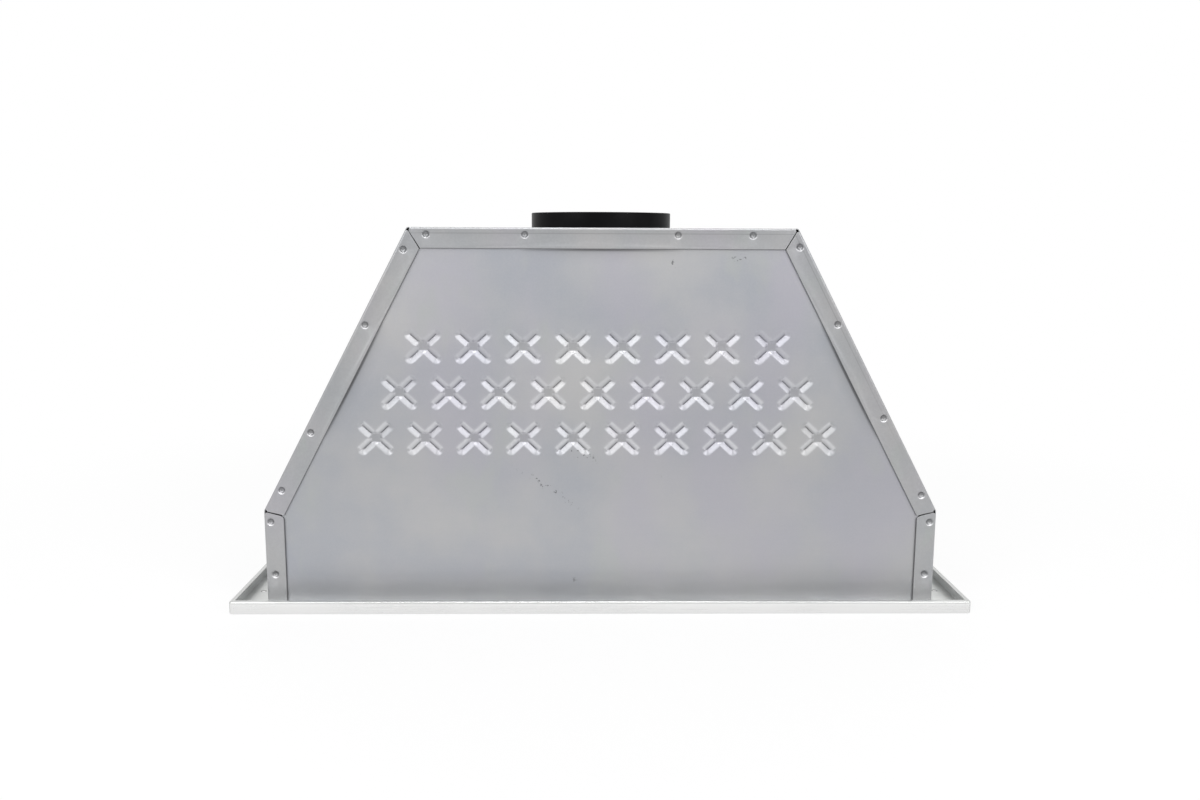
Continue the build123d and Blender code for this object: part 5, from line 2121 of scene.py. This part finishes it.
@dataclass
class FlapRibs:
    """Moulded ribs and edge bead on top of a damper flap, in millimetres."""

    name: str
    way: float
    top: float = 372.6
    start: float = 16.0
    end: float = 46.0
    ease: float = 1.5
    half: float = 0.9
    height: float = 0.9
    count: int = 5
    pitch: float = 20.0
    bead: float = 0.8
    bead_at: float = 67.5
    bead_turn: float = 74.0
    bead_steps: int = 24
    bead_sides: int = 12
    end_rise: float = 0.2
    sunk: float = 0.1

    def build(self) -> None:
        """Makes the ribs and the bead as one piece on the flap."""
        material = finish(Slot.flap_plastic)
        first = -(self.count - 1) / 2 * self.pitch
        pattern = self.rib(material)
        ribs = loose_points(f"flap_{self.name}_rows", [])
        ROW_TREE.run(ribs, {
            "Pattern": pattern, "Count": self.count, "Start": (0.0, first * MM, 0.0),
            "Step": (0.0, self.pitch * MM, 0.0), "Finish": material,
        })
        discard(pattern)
        path = []
        for i in range(-self.bead_steps, self.bead_steps + 1):
            turn = math.radians(self.bead_turn * i / self.bead_steps)
            x, y = self.way * self.bead_at * math.cos(turn), self.bead_at * math.sin(turn)
            path.append(Vector((x, y, self.top)))
        made = Sheet()
        made.rod(path, self.bead, self.bead_sides)
        edge = made.object(f"flap_{self.name}_edge", material)
        seat(join(f"flap_{self.name}_ribs", [ribs, edge]), f"flap_{self.name}", Slot.flap_plastic)

    def rib(self, material: Material) -> Object:
        """One rib across the flap at Y 0, with sloping ends.

        Args:
            material: its finish.

        Returns:
            The rib.
        """
        ends = (self.start, self.start + self.ease, self.end - self.ease, self.end)
        stations = zip(ends, (self.end_rise, 1.0, 1.0, self.end_rise))
        section = ((-self.half, 0.0), (-self.half / 2, 1.0), (self.half / 2, 1.0), (self.half, 0.0))
        made = Sheet()
        rows = [
            [Vector((self.way * x, y, self.top + self.height * (rise * up - self.sunk))) for y, up in section]
            for x, rise in stations
        ]
        made.rows(rows, closed=True)
        made.cap(rows[0], rows[-1])
        return made.object("rib", material)


@dataclass
class GreaseFilter:
    """Grease filter: folded channel frame, two layers of slats and a bail handle, in millimetres."""

    name: str
    x: float
    width: float = 304.0
    front: float = -71.0
    rear: float = 114.0
    bottom: float = 25.0
    height: float = 12.0
    sheet: float = 0.8
    border: float = 12.0
    front_border: float = 30.0
    corner: float = 2.0
    inner_corner: float = 0.4
    window_corner: float = 3.0
    corner_steps: int = 4
    fold: float = 1.2
    bead: float = 2.5
    hinge_y: float = 118.0
    hinge_z: float = 27.5
    web: float = 1.0
    web_sunk: Point = (0.1, 0.2)
    slats: int = 9
    slat_pitch: float = 32.0
    slat_width: float = 21.0
    slat_leg: float = 6.4
    slat_sheet: float = 0.7
    slat_bend: float = 1.6
    slat_seat: float = 6.0
    bail_span: float = 96.0
    bail_radius: float = 3.0
    bail_y: float = -58.0
    bail_z: float = 8.0
    bail_corner: float = 9.0
    bail_steps: int = 8
    bar_sides: int = 20

    @property
    def window(self) -> tuple[float, float]:
        """Front and rear of the open window."""
        return self.front + self.front_border, self.rear - self.border

    @property
    def middle(self) -> Point:
        """Middle of the frame."""
        return self.x, (self.front + self.rear) / 2

    def build(self) -> None:
        """Makes the three pieces and ties them to the filter's body."""
        self.frame_piece()
        self.slat_piece()
        self.bail_piece()

    def outline(self, inset: float) -> Loop:
        """Frame outline moved inwards.

        Args:
            inset: how far.

        Returns:
            The closed outline.
        """
        width, depth = self.width - 2 * inset, self.rear - self.front - 2 * inset
        return rounded_rectangle(
            width, depth, max(self.corner - inset, self.inner_corner), self.middle, self.corner_steps
        )

    def frame_piece(self) -> None:
        """Folded frame with rounded outer edges, thickened inwards, and its hinge bead."""
        low, high = self.bottom, self.bottom + self.height
        start, end = self.window
        width, centre = self.width - 2 * self.border, (self.x, (start + end) / 2)
        opening = rounded_rectangle(width, end - start, self.window_corner, centre, self.corner_steps)
        profile = corner_arc((self.fold, low), (0.0, low + self.fold))
        profile += [(d, z) for z, d in corner_arc((high - self.fold, 0.0), (high, self.fold))]
        made = Sheet()
        made.walls([(self.outline(d), z) for d, z in profile])
        for level in (low, high):
            made.level([self.outline(self.fold), opening], level)
        shell = made.object(f"filter_{self.name}_channel", finish(Slot.filter_steel))
        thicken(shell, self.sheet)
        self.add_bead(shell)
        soften(shell, SHARP)
        seat(shell, f"filter_{self.name}", Slot.filter_steel, f"filter_{self.name}_frame")

    def add_bead(self, shell: Object) -> None:
        """Adds the round hinge bead and its web behind the frame.

        Args:
            shell: the frame's sheet.
        """
        made = Sheet()
        made.mesh.from_mesh(shell.data)
        ends = [self.x + side * self.width / 2 for side in (-1, 1)]
        made.rod([Vector((x, self.hinge_y, self.hinge_z)) for x in ends], self.bead, self.bar_sides)
        low, high = self.hinge_z - self.web / 2, self.hinge_z + self.web / 2
        front, back = self.rear - self.web_sunk[0], self.hinge_y - self.bead + self.web_sunk[1]
        section = [(front, low), (back, low), (back, high), (front, high)]
        rows = [[Vector((x, y, z)) for y, z in section] for x in ends]
        made.rows(rows, closed=True)
        made.cap(*rows)
        bmesh.ops.remove_doubles(made.mesh, verts=made.mesh.verts, dist=MERGE)
        bmesh.ops.recalc_face_normals(made.mesh, faces=made.mesh.faces)
        made.mesh.to_mesh(shell.data)
        made.mesh.free()

    def slat(self, up: bool) -> Object:
        """One folded channel at X 0, open upwards or downwards.

        Args:
            up: True for the lower layer.

        Returns:
            The slat.
        """
        sheet, bend = self.slat_sheet, self.slat_bend
        half, leg = self.slat_width / 2, self.slat_leg
        outer = [(-half, leg)] + [(x, z) for z, x in corner_arc((bend, -half), (0.0, -half + bend), 3)]
        inner = [(-half + sheet, leg)]
        inner += [(x, z) for z, x in corner_arc((bend, -half + sheet), (sheet, -half + bend), 3)]
        right_outer = [(-x, z) for x, z in outer][::-1]
        right_inner = [(-x, z) for x, z in inner]
        section = outer + right_outer + right_inner + inner[::-1]
        start, end = self.window
        flip = 1.0 if up else -1.0
        base = self.bottom + self.sheet if up else self.bottom + self.height - self.sheet
        made = Sheet()
        span = (start - self.slat_seat, end + self.slat_seat)
        made.bar([[Vector((x, y, base + flip * z)) for x, z in section] for y in span])
        return made.object("slat", finish(Slot.filter_steel))

    def slat_piece(self) -> None:
        """Both layers of slats, the upper ones turned over the gaps of the lower ones."""
        material = finish(Slot.filter_steel)
        layers = []
        for layer in range(2):
            count = self.slats - layer
            start = self.x - (count - 1) / 2 * self.slat_pitch
            pattern = self.slat(up=layer == 0)
            row = loose_points(f"filter_{self.name}_slats_{layer}", [])
            ROW_TREE.run(row, {
                "Pattern": pattern, "Count": count, "Start": (start * MM, 0.0, 0.0),
                "Step": (self.slat_pitch * MM, 0.0, 0.0), "Finish": material,
            })
            discard(pattern)
            layers.append(row)
        slats = join(f"filter_{self.name}_slats", layers)
        seat(slats, f"filter_{self.name}", Slot.filter_steel, f"filter_{self.name}_baffles")

    def bail_piece(self) -> None:
        """Round bar bent into a bail under the front border."""
        half, bend = self.bail_span / 2, self.bail_corner
        path = [Vector((self.x - half, self.bail_y, self.bottom))]
        for side in (-1, 1):
            arc = []
            for step in range(self.bail_steps + 1):
                angle = math.pi / 2 * step / self.bail_steps
                x = self.x + side * (half - bend + bend * math.cos(angle))
                arc.append(Vector((x, self.bail_y, self.bail_z + bend - bend * math.sin(angle))))
            path += arc if side < 0 else arc[::-1]
        path.append(Vector((self.x + half, self.bail_y, self.bottom)))
        made = Sheet()
        made.rod(path, self.bail_radius, self.bar_sides)
        bail = made.object(f"filter_{self.name}_bail", finish(Slot.filter_steel))
        seat(bail, f"filter_{self.name}", Slot.filter_steel, f"filter_{self.name}_handle")


def join(name: str, pieces: Sequence[Object]) -> Object:
    """Joins plain meshes into one object.

    Args:
        name: the object's name.
        pieces: the meshes, which are removed.

    Returns:
        The object.
    """
    mesh = bmesh.new()
    for piece in pieces:
        mesh.from_mesh(piece.data)
    data = bpy.data.meshes.new(name)
    mesh.to_mesh(data)
    mesh.free()
    data.materials.append(pieces[0].data.materials[0])
    discard(*pieces)
    made = bpy.data.objects.new(name, data)
    bpy.context.scene.collection.objects.link(made)
    soften(made, SHARP)
    return made


def turned(profile: Sequence[Point], centre: Point, sides: int) -> Sheet:
    """Round piece about an upright axis.

    Args:
        profile: radius and height from bottom centre to top centre, ends at radius 0 left out.
        centre: axis in X and Y.
        sides: points round it.

    Returns:
        The closed mesh in the making.
    """
    made = Sheet()
    rings = [[Vector((x, y, z)) for x, y in circle(r, centre, sides)] for r, z in profile]
    made.rows(rings, closed=True)
    made.cap(rings[0], rings[-1])
    return made


@dataclass
class Controls:
    """Five push buttons with dished faces in a bezel, in millimetres."""

    strip_y: float = -102.0
    width: float = 160.0
    depth: float = 36.0
    face_width: float = 147.6
    face_depth: float = 23.6
    sheet: float = 1.0
    bezel_top: float = 3.0
    corner: float = 1.0
    ease: Curve = ((0.6, 0.0), (0.18, 0.18), (0.0, 0.6))
    well: Curve = ((9.4, 0.0), (8.9, 0.12), (7.9, 0.75), (7.5, 1.0), (7.5, 3.0))
    posts: Point = (72.0, 13.0)
    post_radius: float = 3.0
    post_sides: int = 20
    board: float = 12.9
    pitch: float = 25.0
    sides: int = 48
    radius: float = 7.2
    face: float = 0.3
    top: float = 8.0
    flange: float = 1.3
    flange_low: float = 3.3
    flange_high: float = 4.5
    dish: float = 0.7
    dished: Curve = ((0.6, 1.0), (3.0, 0.85), (5.0, 0.45))
    land: Point = (0.5, 0.08)
    flange_ease: float = 0.2
    top_ease: float = 0.3
    post_sunk: float = 0.5
    edge: float = 0.6
    names: tuple[str, ...] = ("light", "stop", "low", "medium", "high")

    def spots(self) -> Loop:
        """Centres of the buttons."""
        first = -(len(self.names) - 1) / 2
        return [((first + i) * self.pitch, self.strip_y) for i in range(len(self.names))]

    def bezel_piece(self) -> None:
        """Bezel with an eased face, a sunk well round each button and posts for the board."""
        made = Sheet()
        levels = [(self.face_width - 2 * e, self.face_depth - 2 * e, z) for e, z in self.ease]
        levels += [(self.face_width, self.face_depth, self.sheet)]
        levels += [(self.width, self.depth, z) for z in (self.sheet, self.bezel_top)]
        centre = (0.0, self.strip_y)
        loops = [(rounded_rectangle(w, d, self.corner, centre, 3), z) for w, d, z in levels]
        made.walls(loops)
        for end in (0, -1):
            radius, z = self.well[end]
            made.level([loops[end][0]] + [circle(radius, spot, self.sides) for spot in self.spots()], z)
        for spot in self.spots():
            made.walls([(circle(r, spot, self.sides), z) for r, z in self.well])
        foot, head = self.bezel_top - self.post_sunk, self.board
        for side, end in QUARTERS:
            x, y = side * self.posts[0], self.strip_y + end * self.posts[1]
            made.rod([Vector((x, y, z)) for z in (foot, head)], self.post_radius, self.post_sides)
        bezel = made.object("control_bezel_face", finish(Slot.bezel_plastic))
        seat(bezel, "casing", Slot.bezel_plastic, "control_bezel")

    def build(self) -> None:
        """Makes the bezel and the buttons."""
        self.bezel_piece()
        r, e, wide, ease = self.radius, self.edge, self.radius + self.flange, self.flange_ease
        profile = [(radius, self.face + self.dish * share) for radius, share in self.dished]
        profile += [(r - e - self.land[0], self.face + self.land[1]), (r - e, self.face)]
        profile += corner_arc((r - e, self.face), (r, self.face + e))[1:]
        profile += [(r, self.flange_low), (wide - ease, self.flange_low), (wide, self.flange_low + ease)]
        profile += [(wide, self.flange_high - ease), (wide - ease, self.flange_high), (r, self.flange_high)]
        profile += [(r, self.top - self.top_ease), (r - self.top_ease, self.top)]
        for name, spot in zip(self.names, self.spots()):
            cap = turned(profile, spot, self.sides)
            button = cap.object(f"button_{name}_cap", finish(Slot.button_metal))
            seat(button, f"push_{name}", Slot.button_metal, f"button_{name}")


@dataclass
class Lamp:
    """Lamp glass with turned rings on its face and a bright trim ring round it, in millimetres."""

    name: str
    x: float
    y: float = -102.0
    radius: float = 22.7
    glass: float = 19.6
    low: float = 0.3
    high: float = 3.7
    dome: float = 0.7
    rings: int = 7
    ring_depth: float = 0.55
    ring_share: float = 0.85
    eye: float = 0.4
    gap: float = 0.1
    bead: float = 0.8
    inner_bead: float = 1.6
    bead_steps: int = 5
    sharp: float = 50.0
    sides: int = 64

    def build(self) -> None:
        """Makes the glass and its trim ring."""
        centre, low = (self.x, self.y), self.low
        pitch = self.glass / self.rings
        profile = []
        for i in range(self.rings):
            rise = low + self.dome * (i / self.rings) ** 2
            end = (i + self.ring_share) * pitch
            profile += [(max(i * pitch, self.eye), rise), (end, rise + self.ring_depth)]
        profile += [(self.glass, profile[-1][1]), (self.glass, self.high)]
        made = turned(profile, centre, self.sides)
        glass = made.object(f"lamp_{self.name}_glass", finish(Slot.lens), angle=self.sharp)
        seat(glass, "casing", Slot.lens, f"lamp_{self.name}_lens")
        inner, outer, bead = self.glass + self.gap, self.radius, self.bead
        soft = self.inner_bead * bead
        section = corner_arc((inner + soft, low), (inner, low + soft), self.bead_steps)[::-1]
        section += corner_arc((outer - bead, low), (outer, low + bead))
        section += [(outer, self.high), (inner, self.high)]
        made = Sheet()
        made.walls([(circle(r, centre, self.sides), z) for r, z in section], ring=True)
        trim = made.object(f"lamp_{self.name}_trim", finish(Slot.lamp_metal))
        seat(trim, "casing", Slot.lamp_metal)


@dataclass
class BlowerWheel:
    """Blower wheel with forward-curved blades between its disc and its front ring, in millimetres."""

    x: float = -79.0
    z: float = 205.0
    radius: float = 95.0
    eye: float = 78.0
    front: float = -46.0
    back: float = 44.0
    blades: int = 40
    blade_thick: float = 1.0
    blade_lead: float = 7.0
    blade_curve: float = 2.2
    blade_steps: int = 6
    blade_inset: float = 1.0
    blade_seat: float = 0.5

    def build(self) -> None:
        """Makes the blades between the disc and the ring."""
        material = finish(Slot.wheel_metal)
        blade = self.blade(material)
        cage = loose_points("wheel_blade_cage", [])
        RING_TREE.run(cage, {
            "Pattern": blade, "Count": self.blades,
            "Centre": (self.x * MM, 0.0, self.z * MM), "Finish": material,
        })
        discard(blade)
        seat(cage, "blower_rotor", Slot.wheel_metal, "wheel_blades")

    def blade(self, material: Material) -> Object:
        """One curved blade on the X side of the axis, from disc to ring.

        Args:
            material: its finish.

        Returns:
            The blade.
        """
        half = (self.radius - self.eye) / 2 - self.blade_inset
        middle = (self.radius + self.eye) / 2
        thick = self.blade_thick / 2
        line = []
        for i in range(self.blade_steps + 1):
            share = i / self.blade_steps
            line.append((middle - half + 2 * half * share, self.blade_lead * share ** self.blade_curve))
        section = [(r, z + thick) for r, z in line] + [(r, z - thick) for r, z in reversed(line)]
        ends = (self.front + self.blade_seat, self.back + self.blade_seat)
        made = Sheet()
        made.bar([[Vector((r, y, z)) for r, z in section] for y in ends])
        return made.object("blade", material)


@dataclass(frozen=True)
class SoftPanel:
    """One soft panel light, in metres and watts."""

    name: str
    place: Triple
    target: Triple
    size: Point
    power: float

    def hang(self) -> None:
        """Makes the light, facing its target."""
        data = bpy.data.lights.new(f"panel_{self.name}", "AREA")
        data.shape = "RECTANGLE"
        data.size, data.size_y = self.size
        data.energy = self.power
        made = bpy.data.objects.new(f"panel_{self.name}", data)
        made.location = self.place
        ahead = Vector(self.target) - Vector(self.place)
        made.rotation_euler = ahead.to_track_quat("-Z", "Y").to_euler()
        bpy.context.scene.collection.objects.link(made)


@dataclass
class Studio:
    """Floor, lights and the camera at the photograph's place, in metres and degrees."""

    place: Triple = (-0.01805, -1.1378, 0.3646)
    pitch: float = 9.039
    yaw: float = 0.905
    roll: float = 0.256
    lens: float = 31.395
    sensor: float = 36.0
    clip: Point = (0.01, 100.0)
    shadow_near: float = 0.5
    shadow_far: float = 1.1
    white_share: float = 0.8
    falloff: float = 0.3
    ambient: float = 0.58
    mirrored: float = 0.8
    floor_half: float = 30.0
    floor_low: float = -0.0004
    too_near: float = 0.05
    paint: Colour = (0.9, 0.9, 0.9)
    panels: tuple[SoftPanel, ...] = (
        SoftPanel("over", (0.0, -0.85, 2.3), (0.0, 0.0, 0.2), (1.2, 0.6), 16.0),
        SoftPanel("left", (-1.5, -1.7, 1.45), (0.0, 0.0, 0.2), (1.2, 1.2), 14.0),
        SoftPanel("right", (1.5, -1.7, 1.45), (0.0, 0.0, 0.2), (1.2, 1.2), 14.0),
        SoftPanel("rear", (0.0, 2.0, 1.9), (0.0, 0.0, 0.15), (2.2, 1.2), 15.0),
    )

    def build(self) -> None:
        """Makes everything that isn't part of the object."""
        self.floor()
        self.world()
        for panel in self.panels:
            panel.hang()
        self.camera()
        bpy.context.scene.view_settings.view_transform = "Standard"

    def floor(self) -> None:
        """Pale floor that keeps the shadow and lets views from below through."""
        made = Sheet()
        half = self.floor_half / MM
        made.level([[(-half, -half), (half, -half), (half, half), (-half, half)]], self.floor_low / MM)
        shader = Shader("pale_floor")
        kinds = ("Is Camera Ray", "Is Glossy Ray", "Is Transmission Ray", "Ray Length")
        camera, glossy, clear, length = (shader.node("ShaderNodeLightPath", output=kind) for kind in kinds)
        back = shader.node("ShaderNodeNewGeometry", output="Backfacing")
        near = (length < self.too_near) * (1.0 - camera)
        paint = shader.node("ShaderNodeBsdfDiffuse", {}, {"Color": solid(self.paint)})
        gone = shader.node("ShaderNodeBsdfTransparent")
        far = shader.span(shader.measure("LENGTH", shader.place()), self.shadow_near, self.shadow_far)
        lit = self.white_share + far * (1.0 - self.white_share)
        seen = (camera * lit).largest(glossy).largest(clear * lit)
        glow = 1.0 - glossy * far * self.falloff
        white = shader.node("ShaderNodeEmission", {}, {"Color": WHITE, "Strength": glow})
        top = shader.node("ShaderNodeMixShader", {}, {0: seen, 1: paint, 2: white})
        shader.node_out(shader.node("ShaderNodeMixShader", {}, {0: back.largest(near), 1: top, 2: gone}))
        made.object("floor", shader.owner, outward=False)

    def world(self) -> None:
        """Even light all round, white where it is seen."""
        made = Shader("studio", world=True)
        bpy.context.scene.world = made.owner
        strength: Value = self.ambient
        levels = (("Is Camera Ray", 1.0), ("Is Transmission Ray", 1.0), ("Is Glossy Ray", self.mirrored))
        for kind, level in levels:
            seen = made.node("ShaderNodeLightPath", output=kind)
            strength = made.node("ShaderNodeMapRange", {}, {0: seen, 3: strength, 4: level})
        light = made.node("ShaderNodeBackground", {}, {"Color": WHITE, "Strength": strength})
        made.node_out(light, "World")

    def camera(self) -> None:
        """Camera from the lines of the photograph."""
        pitch, yaw, roll = (math.radians(v) for v in (self.pitch, self.yaw, self.roll))
        ahead = Vector((math.sin(yaw) * math.cos(pitch), math.cos(yaw) * math.cos(pitch), -math.sin(pitch)))
        right = Vector((math.cos(yaw), -math.sin(yaw), 0.0))
        up = right.cross(ahead)
        across = right * math.cos(roll) + up * math.sin(roll)
        above = up * math.cos(roll) - right * math.sin(roll)
        data = bpy.data.cameras.new("photo_view")
        data.sensor_fit = "HORIZONTAL"
        data.sensor_width = self.sensor
        data.lens = self.lens
        data.clip_start, data.clip_end = self.clip
        made = bpy.data.objects.new("photo_view", data)
        columns = Matrix((across, above, -ahead)).transposed().to_4x4()
        made.matrix_world = Matrix.Translation(self.place) @ columns
        bpy.context.scene.collection.objects.link(made)
        bpy.context.scene.camera = made


def dress_solids() -> None:
    """Gives every solid that still shows the finish of its slot."""
    slots = {part["node"]: part["material_slot"] for part in frame["record"]["subparts"]}
    for name, node in frame["nodes"].items():
        if node.hide_render:
            continue
        node.data.materials.clear()
        node.data.materials.append(finish(Slot[slots[name]]))
        log.info("%s: %s", name, slots[name])


def main() -> None:
    """Builds the pieces in order and notes the sizes."""
    logging.basicConfig(level=logging.INFO, format="%(message)s")
    tray, casing, clinch, cross = Tray(), Casing(), Clinch(), Cross()
    tray.build()
    Wrap(casing, clinch).build()
    for side in Side:
        Panel(side, casing, clinch, cross).build()
    Collar().build()
    for name, way in HANDS.items():
        FlapRibs(name, way).build()
    for name, way in HANDS.items():
        GreaseFilter(name, way * FILTER_X).build()
    Controls().build()
    for name, way in HANDS.items():
        Lamp(name, way * tray.lamp_x).build()
    BlowerWheel().build()
    dress_solids()
    Studio().build()


if __name__ == "__main__":
    main()
